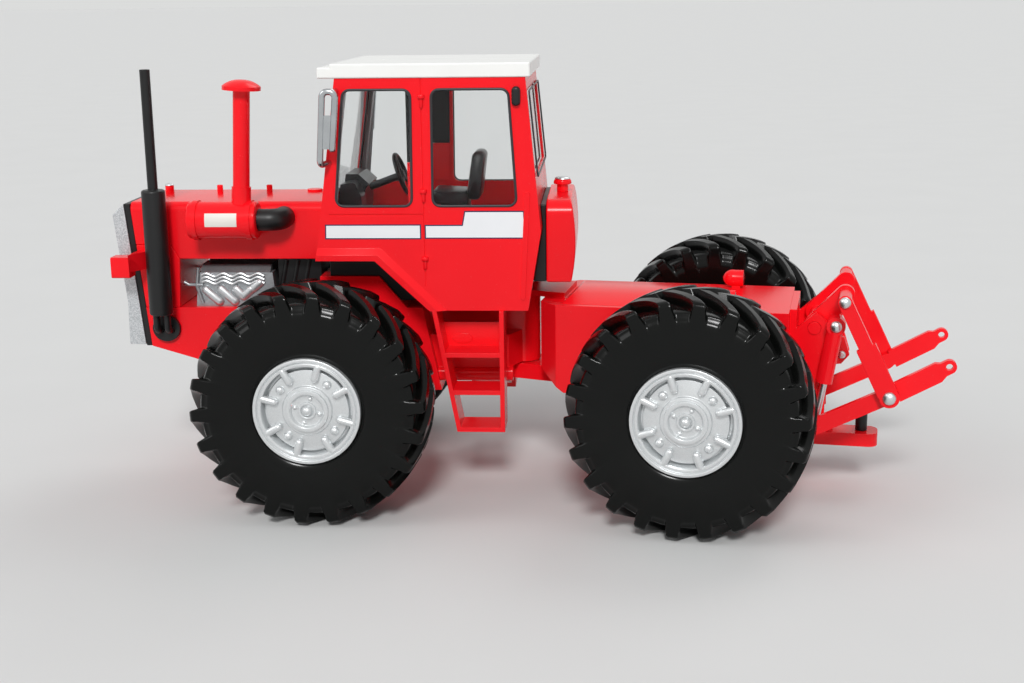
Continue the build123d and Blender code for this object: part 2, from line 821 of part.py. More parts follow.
def intake_elbow():
    """Black hose from the canister's end, bending into the hood's side."""
    return bent_tube([(cleaner_rear, cleaner_y, cleaner_z), (elbow_x, cleaner_y, cleaner_z),
                      (elbow_x, -hood_half_width, cleaner_z)], elbow_bend, elbow_radius)


def cab_side_face():
    """Side outline of the cab down to the sill and round the wheel arch."""
    return outline(cab_front_low, arch_top, arch_foot, cab_rear_low, cab_rear_waist, cab_rear_sill,
                   cab_rear_high,
                   cab_front_high)


def side_windows(shrink):
    """Front and rear side windows with rounded corners, drawn in by a small amount."""
    faces = []
    for sill, head in ((front_window_sill, front_window_head), (rear_window_sill, rear_window_head)):
        low = window_sill + shrink
        high = window_top - shrink
        face = outline((head[0] + shrink, high), (head[1] - shrink, high), (sill[1] - shrink, low),
                       (sill[0] + shrink, low))
        faces.append(fillet(face.vertices(), window_corner))
    return faces


def fender_lip():
    """Lip over the wheel arch: proud at the arch, its upper face sloping back to the panel."""
    top = fender_z + lip_width
    knee = (arch_top[0] + 0.45 * lip_width, top)
    heel = (arch_foot[0] + 1.4 * lip_width, cab_bottom)
    beyond = (heel[0] + (heel[0] - knee[0]), heel[1] + (heel[1] - knee[1]))
    front = cab_front_low[0] - 2 * lip_width
    face = outline((front, top), knee, beyond, (front, beyond[1]))
    ridge = extrude(Plane.XZ.offset(cab_half_width) * face, amount=lip_proud,
                    taper=degrees(atan(lip_slope / lip_proud)))
    return ridge & slab(cab_side_face(), -cab_half_width - lip_proud, -cab_half_width)


def cab_side():
    """Left side panel with its windows cut, the door seams and the fender lip and strip standing proud."""
    face = -cab_half_width
    panel = slab(cab_side_face(), face, -cab_inner)
    holes = [slab(window, face - 1, -cab_inner + 1) for window in side_windows(0)]
    seam = slab(outline((seam_x, seam_low), (seam_x + seam_width, seam_low),
                        (seam_x + seam_width, cab_top + 1),
                        (seam_x, cab_top + 1)), face - 1, face + seam_depth)
    crease = slab(outline((cab_front_x(crease_z) + 2, crease_z), (seam_x, crease_z),
                          (seam_x, crease_z + seam_width),
                          (cab_front_x(crease_z) + 2, crease_z + seam_width)), face - 1, face + seam_depth)
    strip = slab(taper_link(strip_high, strip_radius, strip_low, strip_radius), face - strip_proud,
                 face + seam_depth)
    return panel - holes - seam - crease + strip + fender_lip()


def side_glass():
    middle = cab_half_width - cab_wall / 2
    panes = [slab(window, -middle - glass_thickness / 2, -middle + glass_thickness / 2)
             for window in side_windows(seat_gap)]
    return Compound([pane.solid() for pane in panes])


def fenders():
    """Inner arch plates from the cab's base to its sides."""
    plate = slab(outline(cab_front_low, arch_top, arch_foot, (arch_foot[0] + 1.4 * fender_rise, cab_bottom),
                         (arch_top[0] + 0.45 * fender_rise, floor_z), (cab_front_x(floor_z), floor_z)),
                 -cab_inner, -base_half_width)
    return both_sides(plate)


def cab_base():
    """Black base between the chassis saddle and the cab floor."""
    slope_foot = line_x(cab_bottom, (saddle_rear + saddle_slope, frame_top), (saddle_rear, saddle_top))
    return slab(outline((base_front, saddle_top), (saddle_rear, saddle_top), (slope_foot, cab_bottom),
                        (base_rear, cab_bottom), (base_rear, floor_z), (base_front, floor_z)),
                -base_half_width, base_half_width)


def front_band(thickness, setback, z_from, z_to, half):
    """Leaning band parallel to the cab's front edge."""
    low = cab_front_x(z_from) + setback
    high = cab_front_x(z_to) + setback
    return slab(outline((low, z_from), (high, z_to), (high + thickness, z_to), (low + thickness, z_from)),
                -half, half)


def cab_front():
    wall = front_band(cab_wall, 0, floor_z + floor_thickness, cab_top, cab_inner)
    opening = front_band(4 * cab_wall, -cab_wall, screen_low, cab_top - screen_header,
                         cab_inner - screen_pillar)
    return wall - opening


def windscreen():
    return front_band(glass_thickness, (cab_wall - glass_thickness) / 2, screen_low + seat_gap,
                      cab_top - screen_header - seat_gap, cab_inner - screen_pillar - seat_gap)


def rear_band(thickness, setback, z_from, z_to, half):
    """Wall that follows the cab's rear edge between two heights."""
    knots = [cab_rear_low, cab_rear_waist, cab_rear_sill, cab_rear_high]
    points = []
    for low, high in zip(knots, knots[1:]):
        if low[1] < z_from < high[1]:
            points.append((line_x(z_from, low, high), z_from))
        if z_from < high[1] <= z_to:
            points.append(high)
        if low[1] < z_to < high[1]:
            points.append((line_x(z_to, low, high), z_to))
    outer = [(x - setback, z) for x, z in points]
    inner = [(x - setback - thickness, z) for x, z in reversed(points)]
    return slab(outline(*outer, *inner), -half, half)


def cab_rear():
    wall = rear_band(cab_wall, 0, tank_bottom, cab_top, cab_inner)
    opening = rear_band(4 * cab_wall, -cab_wall, rear_glass_low, cab_top - rear_glass_header,
                        cab_inner - rear_glass_pillar)
    return wall - opening


def rear_glass():
    return rear_band(glass_thickness, (cab_wall - glass_thickness) / 2, rear_glass_low + seat_gap,
                     cab_top - rear_glass_header - seat_gap, cab_inner - rear_glass_pillar - seat_gap)


def cab_roof():
    """White roof slab with rounded edges and a lower visor in front."""
    half = cab_half_width + roof_overhang
    front = cab_front_high[0] - roof_front
    rear = cab_rear_high[0] + roof_rear
    slab_part = Pos((front + rear) / 2, 0, cab_top) * Box(rear - front, 2 * half, roof_height, align=upward)
    slab_part = fillet(slab_part.faces().sort_by(Axis.Z)[-1].edges(), roof_edge)
    visor = Pos(front, 0, cab_top) * Box(
        visor_depth, 2 * half, visor_height, align=(Align.MAX, Align.CENTER, Align.MIN))
    visor = fillet(visor.edges().filter_by(Axis.Y).group_by(Axis.X)[0], visor_height / 6)
    return slab_part + visor


def cab_floor():
    front = cab_front_x(floor_z)
    rear = line_x(floor_z, cab_rear_low, cab_rear_waist) - cab_wall
    return plan(outline((front, -cab_inner), (rear, -cab_inner), (rear, cab_inner), (front, cab_inner)),
                floor_z, floor_z + floor_thickness)


def wheel_plane():
    """Plane of the steering wheel, facing up and back to the driver."""
    centre = ((wheel_top[0] + wheel_bottom[0]) / 2, (wheel_top[1] + wheel_bottom[1]) / 2)
    span = (wheel_bottom[0] - wheel_top[0], wheel_bottom[1] - wheel_top[1])
    return Plane(origin=(centre[0], 0, centre[1]), x_dir=(0, 1, 0), z_dir=(-span[1], 0, span[0]))


def steering_wheel():
    """Wheel with a round grip, a hub and three spokes."""
    radius = hypot(wheel_bottom[0] - wheel_top[0], wheel_bottom[1] - wheel_top[1]) / 2 - wheel_grip
    ring = Torus(radius, wheel_grip)
    hub = Cylinder(2 * wheel_grip, 2 * wheel_grip)
    spokes = [Rot(0, 0, 120 * step + 90) * (Pos(radius / 2, 0, 0) * Box(radius, 1.5 * wheel_grip,
                                                                        wheel_grip))
              for step in range(3)]
    return wheel_plane() * ring.fuse(hub, *spokes)


def dash():
    """Console against the cab front with a raised instrument pod on the left, and the steering column."""
    floor = floor_z + floor_thickness
    rear = cab_front_x(console_top) + console_depth - 4

    def front(z):
        return cab_front_x(z) + cab_wall + side_gap

    console = outline((front(floor), floor), (rear - 0.6, floor), (rear, console_top - 3.8),
                      (rear + 1.0, console_top - 2.4), (rear - 1.6, console_top),
                      (front(console_top), console_top))
    pod = outline((front(floor), floor), (rear + 0.4, floor), (rear, pod_top - 3.6), (rear - 1.6, pod_top),
                  (front(pod_top - 0.6), pod_top - 0.6))
    pod = fillet(pod.vertices().group_by(Axis.Y)[-1], 1.2)
    plane = wheel_plane()
    foot = plane.origin - plane.z_dir * column_length
    tip = plane.origin - plane.z_dir * wheel_grip
    column = bar(tuple(foot), tuple(tip), column_radius)
    return slab(console, -pod_inner, pod_outer).fuse(slab(pod, -pod_outer, -pod_inner), column)


def seat():
    """Seat on a pedestal: rounded cushion and a raked, rounded back."""
    floor = floor_z + floor_thickness
    top = cushion_bottom + cushion_thickness
    front = seat_x - cushion_length
    base = slab(outline((front + 1.6, floor), (seat_x + 1.0, floor), (seat_x, cushion_bottom + 1),
                        (front + 2.6, cushion_bottom + 1)), -pedestal_half_width, pedestal_half_width)
    edge = cushion_thickness / 2 - 0.1
    pad = taper_link((front + edge, top - cushion_thickness / 2), edge,
                     (seat_x - edge, top - cushion_thickness / 2), edge)
    cushion = slab(pad, -seat_half_width, seat_half_width)
    lean = back_thickness / 2
    rest = taper_link((seat_x + lean - 0.8, top - lean), lean, (seat_x + lean - 0.8 + back_rake,
                                                                top + back_height - lean),
                      lean - 0.1)
    back = slab(rest, -seat_half_width + 0.4, seat_half_width - 0.4)
    rounded = []
    for part in (cushion, back):
        sides = part.faces().sort_by(Axis.Y)
        rounded.append(fillet(sides[0].edges() + sides[-1].edges(), 0.7))
    return base.fuse(*rounded)


def mirrors():
    """Hairpin of tube beside the front pillar, with the mirror plate between its legs."""
    high = cab_top - mirror_drop
    low = high - mirror_height
    plane = -(cab_half_width + mirror_reach)
    root = -cab_half_width
    ahead = cab_front_x(high) - mirror_ahead
    drop = cab_front_x(high) - cab_front_x(low)
    foot = ahead - drop / 2
    leg_end = high - 0.78 * mirror_height
    inner_foot = ahead + mirror_span - drop / 2
    loop = bent_tube([(foot + mirror_span / 2, root + mirror_tube, low), (foot, plane, low),
                      (ahead, plane, high),
                      (ahead + mirror_span, plane, high), (inner_foot, plane, leg_end)], mirror_bend,
                      mirror_tube)
    loop -= Pos(foot, 0, low) * Box(4 * mirror_span, 2 * cab_half_width, 4 * mirror_tube)
    end = Pos(inner_foot, plane, leg_end) * Sphere(mirror_tube)
    stay = bar((ahead + mirror_span - 0.6, root, high), (ahead + mirror_span - 0.6, plane, high),
               0.8 * mirror_tube)
    plate_top = high - 0.32 * mirror_height
    plate = slab(outline((ahead - 0.16 * drop, plate_top), (ahead + mirror_span - 0.16 * drop, plate_top),
                         (inner_foot, leg_end), (foot + 0.1 * drop, leg_end)), plane - 0.4, plane + 0.4)
    return both_sides(loop.fuse(end, stay, plate))


def cab_lamps():
    """Small capsule lamps on the rear pillars."""
    z = cab_top - lamp_drop
    face = taper_link((lamp_x, z), lamp_radius, (lamp_x, z - lamp_length), lamp_radius)
    lamp = slab(face, -cab_half_width - lamp_proud, -cab_half_width)
    return both_sides(fillet(lamp.faces().sort_by(Axis.Y)[0].edges(), 0.7 * lamp_radius))


def fuel_tank():
    """Tank with a bulged rear face and rounded upper corners."""
    flat = tank_rear - tank_bulge
    side = make_face(Polyline((flat, tank_top), (tank_front, tank_top), (tank_front, tank_bottom),
                              (flat, tank_bottom))
                     + ThreePointArc((flat, tank_bottom), (tank_rear, (tank_top + tank_bottom) / 2),
                                     (flat, tank_top)))
    body = slab(side, -tank_half_width, tank_half_width)
    return fillet(body.edges().filter_by(Axis.X).group_by(Axis.Z)[-1], tank_corner)


def tank_gasket():
    """Black pad between the cab's rear wall and the tank."""
    top = tank_top - tank_pad_inset
    half = tank_half_width - tank_pad_inset
    knots = [(line_x(tank_bottom, cab_rear_low, cab_rear_waist), tank_bottom), cab_rear_waist,
             (line_x(top, cab_rear_waist, cab_rear_sill), top)]
    return slab(outline(*knots, (tank_front, top), (tank_front, tank_bottom)), -half, half)


def tank_cap():
    """Filler neck with a mushroom cap."""
    top = tank_top + filler_height
    cap = upright(filler_x, 0, filler_cap, top, top + filler_cap_height)
    cap = fillet(cap.faces().sort_by(Axis.Z)[-1].edges(), 0.7 * filler_cap_height)
    return cap + upright(filler_x, 0, filler_neck, tank_top, top + filler_cap_height / 2)


def steps():
    """Left ladder: two stringers, three treads, and a riser with an oval plate behind the top opening."""
    mid = (step_outer + step_inner) / 2
    front = slab(outline((step_front_top, cab_bottom), (step_front_low, step_bottom),
                         (step_front_low + step_bar, step_bottom), (step_front_top + step_bar, cab_bottom)),
                 -step_outer, -step_inner)
    back = slab(outline((step_rear - step_bar, step_bottom), (step_rear, step_bottom),
                        (step_rear, cab_bottom),
                        (step_rear - step_bar, cab_bottom)), -step_outer, -step_inner)

    def front_x(z):
        return line_x(z, (step_front_low, step_bottom), (step_front_top, cab_bottom)) + step_bar / 2

    end = step_rear - step_bar / 2
    treads = []
    for height in (*tread_heights, step_bottom + step_bar):
        start = front_x(height)
        treads.append(Pos((start + end) / 2, -mid, height - step_bar / 2) * Box(end - start, step_depth,
                                                                                step_bar))
    low = tread_heights[0] - step_bar / 2
    riser = slab(outline((front_x(riser_top), riser_top), (front_x(low), low), (end, low), (end, riser_top)),
                 -step_inner - step_bar, -step_inner)
    oval = slab(Pos(emboss_x, (riser_top + low) / 2 - 0.8) * Ellipse(*emboss_size),
                -step_inner - step_bar - side_gap, -step_inner)
    return front.fuse(back, riser, oval, *treads)


def tongue(z_from, z_to, length):
    """Rounded tongue of the rear half round the steering pivot, widening to the rear."""
    wide = tongue_radius + tongue_flare
    blade = plan(outline((pivot_x, -tongue_radius), (length, -wide), (length, wide),
                         (pivot_x, tongue_radius)),
                 z_from, z_to)
    return blade + upright(pivot_x, 0, tongue_radius, z_from, z_to)


def rear_chassis():
    """Rear casting with chamfered front corners, a raised chin and the two tongues of the steering pivot."""
    half = rear_half_width
    cut = rear_corner
    side = slab(outline((rear_front, rear_top), (rear_front, rear_chin[1]), (rear_chin[0], rear_bottom),
                        (rear_end, rear_bottom), (rear_end, rear_top)), -half, half)
    shape = plan(outline((rear_front, cut - half), (rear_front + cut, -half), (rear_end, -half),
                         (rear_end, half),
                         (rear_front + cut, half), (rear_front, half - cut)), rear_bottom, rear_top)
    low = pivot_block_bottom - side_gap - lower_tongue_thickness
    upper = tongue(rear_top, rear_top + tongue_thickness, hatch_front - side_gap)
    lower = tongue(low, low + lower_tongue_thickness, rear_chin[0] + 0.7)
    hole = upright(pivot_x, 0, pivot_pin_radius + seat_gap, low - 1, rear_top + tongue_thickness + 1)
    return (side & shape) + upper + lower - hole


def pivot_pin():
    low = pivot_block_bottom - side_gap - lower_tongue_thickness
    top = rear_top + tongue_thickness
    head = upright(pivot_x, 0, pivot_pin_head, top, top + pivot_pin_head / 3)
    return upright(pivot_x, 0, pivot_pin_radius, low, top) + head


def deck_hatch():
    """Low hatch on the rear deck with broad sloping sides."""
    length = hatch_rear - hatch_front
    middle = (hatch_front + hatch_rear) / 2
    base = Pos(middle, 0, rear_top) * Rectangle(length, 2 * hatch_half_width)
    crown = Pos(middle, 0, rear_top + hatch_height) * Rectangle(
        length - 2 * hatch_slope, 2 * (hatch_half_width - hatch_side_slope))
    return loft([base, crown])


def tail_lamps():
    """Bullet lamps on the deck's rear corners, flat lens to the rear."""
    r = tail_lamp_radius
    nose = 0.55 * tail_lamp_length
    section = make_face(Polyline((0, 0), (tail_lamp_length, 0), (tail_lamp_length, r), (nose, r))
                        + ThreePointArc((nose, r), (0.25 * nose, 0.68 * r), (0, 0)))
    y = rear_half_width - tail_lamp_inset
    z = rear_top + r + side_gap
    lamp = Pos(tail_lamp_x, -y, z) * revolve(section, Axis.X)
    foot = Pos(tail_lamp_x + 0.65 * tail_lamp_length, -y, rear_top) * Box(
        0.4 * tail_lamp_length, r, r, align=upward)
    return both_sides(lamp + foot)


def hitch_tower():
    """Two tower plates with a back plate, link bosses and the ears of the top link."""
    peak = (rocker_shaft[0] + 0.3, rocker_shaft[1] + 3.7)
    edge = rocker_shaft[0] + 2.9
    face = outline((rear_end, rear_bottom), (rear_end, rocker_shaft[1] - 1.8), peak,
                   (edge, rocker_shaft[1] + 1.7),
                   (edge, ram_anchor[1] + 4.7), (ram_anchor[0] + 2.1, ram_anchor[1] - 1.3),
                   (ram_anchor[0] - 0.7, link_pivot[1] - 0.1), (link_pivot[0] + 1.4, link_pivot[1] - 3.1),
                   (link_pivot[0] - 2.4, link_pivot[1] - 2.1), (link_pivot[0] - 2.4, rear_bottom))
    plate = slab(face, -tower_outer, -tower_inner)
    link_boss = cross_rod(link_pivot, 1.9, -link_inner + side_gap, -tower_inner)
    link_stub = cross_rod(link_pivot, pin_radius, -link_inner - link_thickness - rivet_reach, -tower_inner)
    ram_boss = cross_rod(ram_anchor, 1.3, -ram_centre + ram_rod_radius + side_gap, -tower_inner)
    ram_stub = cross_rod(ram_anchor, pin_radius, -ram_centre - ram_rod_radius - rivet_reach, -tower_inner)
    side = plate.fuse(link_boss, link_stub, ram_boss, ram_stub)
    side -= cross_rod(rocker_shaft, shaft_radius + running_gap, -tower_outer - 1, -tower_inner + 1)
    root = rear_end + back_plate / 2
    ears = slab(outline((root, top_link_pin[1] - 3.8), (top_link_pin[0], top_link_pin[1] - 2.2),
                        (top_link_pin[0] + 1.8, top_link_pin[1]),
                        (top_link_pin[0] + 0.5, top_link_pin[1] + 4.2),
                        (top_link_pin[0] - 2.6, top_link_pin[1] + 4.6), (root, top_link_pin[1] + 4.6)),
                -ear_inner - ear_thickness, -ear_inner)
    pin = cross_rod(top_link_pin, pin_radius, -ear_inner - ear_thickness - rivet_reach, 0)
    back = Pos(rear_end, 0, rear_bottom) * Box(back_plate, 2 * tower_outer, rear_top - rear_bottom,
                                               align=(Align.MIN, Align.CENTER, Align.MIN))
    left = side.fuse(ears, pin)
    return back.fuse(left, mirror(left, about=Plane.XZ))


def lift_rocker():
    """Cross shaft with a lift arm inside each tower plate, and the pins for the lift rods and the rams."""
    arm_outer = arm_inner + arm_thickness
    reach = tower_outer + shaft_proud
    shaft = cross_rod(rocker_shaft, shaft_radius, -reach, reach)
    face = taper_link(rocker_shaft, 2.6, lift_pin, 2.1) + taper_link(rocker_shaft, 2.4, ram_pin, 1.6)
    arm = slab(face, -arm_outer, -arm_inner)
    rod_boss = cross_rod(lift_pin, 1.5, -lift_rod_inner + side_gap, -arm_inner)
    rod_stub = cross_rod(lift_pin, pin_radius, -lift_rod_inner - lift_rod_thickness - rivet_reach,
                         -arm_inner)
    ram_stub = cross_rod(ram_pin, pin_radius, -ram_centre - ram_radius - rivet_reach, -arm_inner)
    arm = arm.fuse(rod_boss, rod_stub, ram_stub)
    return shaft.fuse(arm, mirror(arm, about=Plane.XZ))


def along(start, end, distance, offset):
    """Side-view point at a distance from start towards end, and an offset to its left."""
    length = hypot(end[0] - start[0], end[1] - start[1])
    ux = (end[0] - start[0]) / length
    uz = (end[1] - start[1]) / length
    return (start[0] + ux * distance - uz * offset, start[1] + uz * distance + ux * offset)


def lower_links():
    """Lower link with a slim front bar, a deep rear blade and the hitch eye."""
    blade = hypot(link_eye[0] - link_pin[0], link_eye[1] - link_pin[1])
    slim = taper_link(link_pivot, 1.9, link_pin, 1.9)
    tail = outline(along(link_pin, link_eye, 1.6, 2.2), along(link_pin, link_eye, 1.6, -2.3),
                   along(link_pin, link_eye, blade - 3.0, -2.3), along(link_pin, link_eye, blade - 1.2,
                                                                       -1.5),
                   along(link_pin, link_eye, blade - 1.2, 1.5), along(link_pin, link_eye, blade - 2.4, 2.2))
    tip = taper_link(link_pin, 1.6, link_eye, 1.6)
    outer = link_inner + link_thickness
    link = slab(slim + tail + tip, -outer, -link_inner)
    link -= cross_rod(link_pivot, pin_radius + running_gap, -outer - 1, -link_inner + 1)
    link -= cross_rod(link_eye, eye_radius, -outer - 1, -link_inner + 1)
    stub = cross_rod(link_pin, pin_radius, -lift_rod_inner - lift_rod_thickness - rivet_reach, -link_inner)
    return both_sides(link + stub)


def lift_rods():
    """Lift rod with a slim upper bar and a thicker sleeve; its lower eye has room to drift on its pin."""
    reach = hypot(link_pin[0] - lift_pin[0], link_pin[1] - lift_pin[1])
    sleeve_start = 0.47 * reach
    slim = taper_link(lift_pin, 1.6, link_pin, 1.6)
    sleeve = outline(along(lift_pin, link_pin, sleeve_start, 2.3), along(lift_pin, link_pin, sleeve_start,
                                                                         -2.3),
                     along(lift_pin, link_pin, reach - 1.0, -2.3), along(lift_pin, link_pin, reach - 1.0,
                                                                         2.3))
    end = Pos(*link_pin) * Circle(2.3)
    outer = lift_rod_inner + lift_rod_thickness
    rod = slab(slim + sleeve + end, -outer, -lift_rod_inner)
    rod -= cross_rod(lift_pin, pin_radius + running_gap, -outer - 1, -lift_rod_inner + 1)
    rod -= cross_rod(link_pin, pin_radius + drift_gap, -outer - 1, -lift_rod_inner + 1)
    return both_sides(rod)


ram_span = hypot(ram_pin[0] - ram_anchor[0], ram_pin[1] - ram_anchor[1])
ram_turn = degrees(atan2(ram_pin[0] - ram_anchor[0], ram_pin[1] - ram_anchor[1]))


def ram_frame(distance):
    """Location on the left ram's axis, a distance from its lower anchor, with Z along the axis."""
    return (Pos(ram_anchor[0], -ram_centre, ram_anchor[1]) * Rot(0, ram_turn, 0)) * Pos(0, 0, distance)


def cylinder_tubes():
    """Ram tubes with a blind bore and an upper eye that has room to drift on its pin."""
    tube = ram_frame(ram_span - ram_length) * Cylinder(ram_radius, ram_length, align=upward)
    half = ram_radius - 0.2
    eye = cross_rod(ram_pin, ram_radius + 0.3, -ram_centre - half, -ram_centre + half)
    bore = ram_frame(ram_span - ram_length - 1) * Cylinder(ram_bore, ram_length - 1.8, align=upward)
    hole = cross_rod(ram_pin, pin_radius + drift_gap - 0.1, -ram_centre - 3, -ram_centre + 3)
    return both_sides(tube + eye - bore - hole)


def cylinder_rods():
    """Silver ram rods with their lower eyes."""
    length = ram_span - 2.8 - ram_stroke - side_gap
    rod = ram_frame(0) * Cylinder(ram_rod_radius, length, align=upward)
    eye = cross_rod(ram_anchor, 1.5, -ram_centre - ram_rod_radius, -ram_centre + ram_rod_radius)
    hole = cross_rod(ram_anchor, pin_radius + running_gap, -ram_centre - 2, -ram_centre + 2)
    return both_sides(rod + eye - hole)


def drawbar():
    """Flat drawbar with a rounded end, a hanger up to the rear casting and the hole of its hitch pin."""
    top = drawbar_bottom + drawbar_thickness
    half = drawbar_half_width
    flat = plan(outline((drawbar_front, -half), (drawbar_rear, -half), (drawbar_rear, half),
                        (drawbar_front, half)),
                drawbar_bottom, top)
    flat = fillet(flat.edges().filter_by(Axis.Z).group_by(Axis.X)[-1], drawbar_corner)
    heel = drawbar_front + hanger_length
    hanger = slab(outline((drawbar_front, drawbar_bottom), (heel, drawbar_bottom), (heel, rear_bottom),
                          (drawbar_front - hanger_rake, rear_bottom)), -half, half)
    hole = upright(hitch_pin_x, 0, hitch_pin_radius - hitch_pin_step + seat_gap, drawbar_bottom - 1, top + 1)
    return flat + hanger - hole


def drawbar_pins():
    """Hitch pin shouldered into the drawbar, and the low keeper in front of it."""
    top = drawbar_bottom + drawbar_thickness
    hitch = (upright(hitch_pin_x, 0, hitch_pin_radius - hitch_pin_step, drawbar_bottom, top)
             + upright(hitch_pin_x, 0, hitch_pin_radius, top, hitch_pin_top))
    heel = drawbar_front + hanger_length
    keeper = upright(heel + keeper_share * (hitch_pin_x - heel), 0, keeper_radius, top, top + keeper_height)
    return Compound([hitch.solid(), keeper.solid()])


def wheel_nodes():
    """Tyres and rims of the four wheels; the left ones are mirror images of the right ones."""
    right_tyre = tyre()
    right_rim = rim()
    left_tyre = mirror(right_tyre, about=Plane.XZ)
    left_rim = mirror(right_rim, about=Plane.XZ)
    placed = {}
    for end, x in (("front", 0.0), ("rear", wheelbase)):
        left = Pos(x, -track / 2, tyre_radius)
        right = Pos(x, track / 2, tyre_radius)
        turned = Rot(0, -rim_turns[end], 0)
        placed[f"tyre_{end}_left"] = left * left_tyre
        placed[f"rim_{end}_left"] = left * turned * left_rim
        placed[f"tyre_{end}_right"] = right * right_tyre
        placed[f"rim_{end}_right"] = right * turned * right_rim
    return placed


def front_nodes():
    left_side = cab_side()
    left_glass = side_glass()
    left_steps = steps()
    return {
        "front_chassis": front_chassis(),
        "front_axle": axle_halves(chassis_half_width),
        "engine_block": engine_block(),
        "transmission": transmission(),
        "nose_panels": nose_panels(),
        "grille": grille(),
        "grille_gasket": grille_gasket(),
        "hood": hood(),
        "hood_fittings": hood_fittings(),
        "headlamps": headlamps(),
        "headlamp_lenses": headlamp_lenses(),
        "exhaust": exhaust(),
        "air_cleaner": air_cleaner(),
        "intake_stack": intake_stack(),
        "intake_elbow": intake_elbow(),
        "fenders": fenders(),
        "cab_base": cab_base(),
        "cab_side_left": left_side,
        "cab_side_right": mirror(left_side, about=Plane.XZ),
        "cab_front": cab_front(),
        "cab_rear": cab_rear(),
        "cab_roof": cab_roof(),
        "side_glass_left": left_glass,
        "side_glass_right": mirror(left_glass, about=Plane.XZ),
        "windscreen": windscreen(),
        "rear_glass": rear_glass(),
        "cab_floor": cab_floor(),
        "dash": dash(),
        "steering_wheel": steering_wheel(),
        "seat": seat(),
        "mirrors": mirrors(),
        "cab_lamps": cab_lamps(),
        "fuel_tank": fuel_tank(),
        "tank_cap": tank_cap(),
        "tank_gasket": tank_gasket(),
        "steps_left": left_steps,
        "steps_right": mirror(left_steps, about=Plane.XZ),
    }


def rear_nodes():
    return {
        "rear_chassis": rear_chassis(),
        "pivot_pin": pivot_pin(),
        "deck_hatch": deck_hatch(),
        "rear_axle": Pos(wheelbase, 0, 0) * axle_halves(rear_half_width),
        "hitch_tower": hitch_tower(),
        "drawbar": drawbar(),
        "drawbar_pins": drawbar_pins(),
        "tail_lamps": tail_lamps(),
        "lift_rocker": lift_rocker(),
        "lower_links": lower_links(),
        "lift_rods": lift_rods(),
        "cylinder_tubes": cylinder_tubes(),
        "cylinder_rods": cylinder_rods(),
    }


# The rear half is drawn straight and stands turned about the steering pivot
turn = Pos(pivot_x, 0, 0) * Rot(0, 0, rest_turn) * Pos(-pivot_x, 0, 0)
nodes = front_nodes()
for name, piece in {**rear_nodes(), **wheel_nodes()}.items():
    nodes[name] = turn * piece if "front" not in name else piece

# The origin is the middle of the whole model's footprint, on the ground
low_corner = [min(getattr(piece.bounding_box().min, axis) for piece in nodes.values()) for axis in "XYZ"]
high_corner = [max(getattr(piece.bounding_box().max, axis) for piece in nodes.values()) for axis in "XYZ"]
to_origin = Pos(-(low_corner[0] + high_corner[0]) / 2, -(low_corner[1] + high_corner[1]) / 2, -low_corner[2])

os.makedirs("parts", exist_ok=True)
for name, piece in nodes.items():
    export_step(to_origin * piece, f"parts/{name}.step")
print(len(nodes), "nodes; length, width, height:",
      [round(high - low, 2) for low, high in zip(low_corner, high_corner)])
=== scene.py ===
import json
import math

import bmesh
import bpy
import numpy as np
from mathutils import Matrix, Vector

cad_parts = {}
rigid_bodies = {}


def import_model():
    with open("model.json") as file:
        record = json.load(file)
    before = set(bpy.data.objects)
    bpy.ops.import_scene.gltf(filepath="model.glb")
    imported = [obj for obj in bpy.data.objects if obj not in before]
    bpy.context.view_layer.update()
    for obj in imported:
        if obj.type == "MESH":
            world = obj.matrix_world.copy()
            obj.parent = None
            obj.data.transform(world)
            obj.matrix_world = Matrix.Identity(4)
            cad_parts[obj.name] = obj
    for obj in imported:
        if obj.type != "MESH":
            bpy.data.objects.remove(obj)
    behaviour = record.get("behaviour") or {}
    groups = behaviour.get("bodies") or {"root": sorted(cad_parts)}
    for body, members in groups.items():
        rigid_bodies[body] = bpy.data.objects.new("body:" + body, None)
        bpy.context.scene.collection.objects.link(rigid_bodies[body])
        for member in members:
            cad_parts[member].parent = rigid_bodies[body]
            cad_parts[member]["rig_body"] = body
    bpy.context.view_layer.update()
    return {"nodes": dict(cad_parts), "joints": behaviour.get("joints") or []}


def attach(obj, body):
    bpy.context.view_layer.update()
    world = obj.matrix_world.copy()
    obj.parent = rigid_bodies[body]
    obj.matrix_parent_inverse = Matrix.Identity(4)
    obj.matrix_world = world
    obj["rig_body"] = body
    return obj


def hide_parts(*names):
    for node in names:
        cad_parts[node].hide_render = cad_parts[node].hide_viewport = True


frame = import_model()

# Drawing frame: millimetres, origin on the ground under the front axle, x to the rear, y to the right, z up.
# The rear half is drawn straight and stands turned about the steering pivot.
joints = {joint["name"]: joint for joint in frame["joints"]}
axleEnds = [np.array(joints[f"wheel_front_{side}_spin"]["pos_m"]) for side in ("left", "right")]
frontAxle = (axleEnds[0] + axleEnds[1]) / 2 * 1000.0
pivotAt = np.array(joints["steer_pivot"]["pos_m"]) * 1000.0
rowShift = np.array([frontAxle[0], frontAxle[1], 0.0])
pivotX = pivotAt[0] - frontAxle[0]
rearAxis = joints["wheel_rear_left_spin"]["axis"]
rearTurn = math.atan2(rearAxis[0], -rearAxis[1])
track = 1000.0 * np.linalg.norm(axleEnds[1] - axleEnds[0])
axleX = {"front": 0.0, "rear": 92.0}  # the wheelbase, before the rear half turns
sides = (("left", -1), ("right", 1))
wheels = [(end, side, sign) for end in axleX for side, sign in sides]
print("frame read: track %.1f mm, rear half turned %.1f degrees" % (track, math.degrees(rearTurn)))


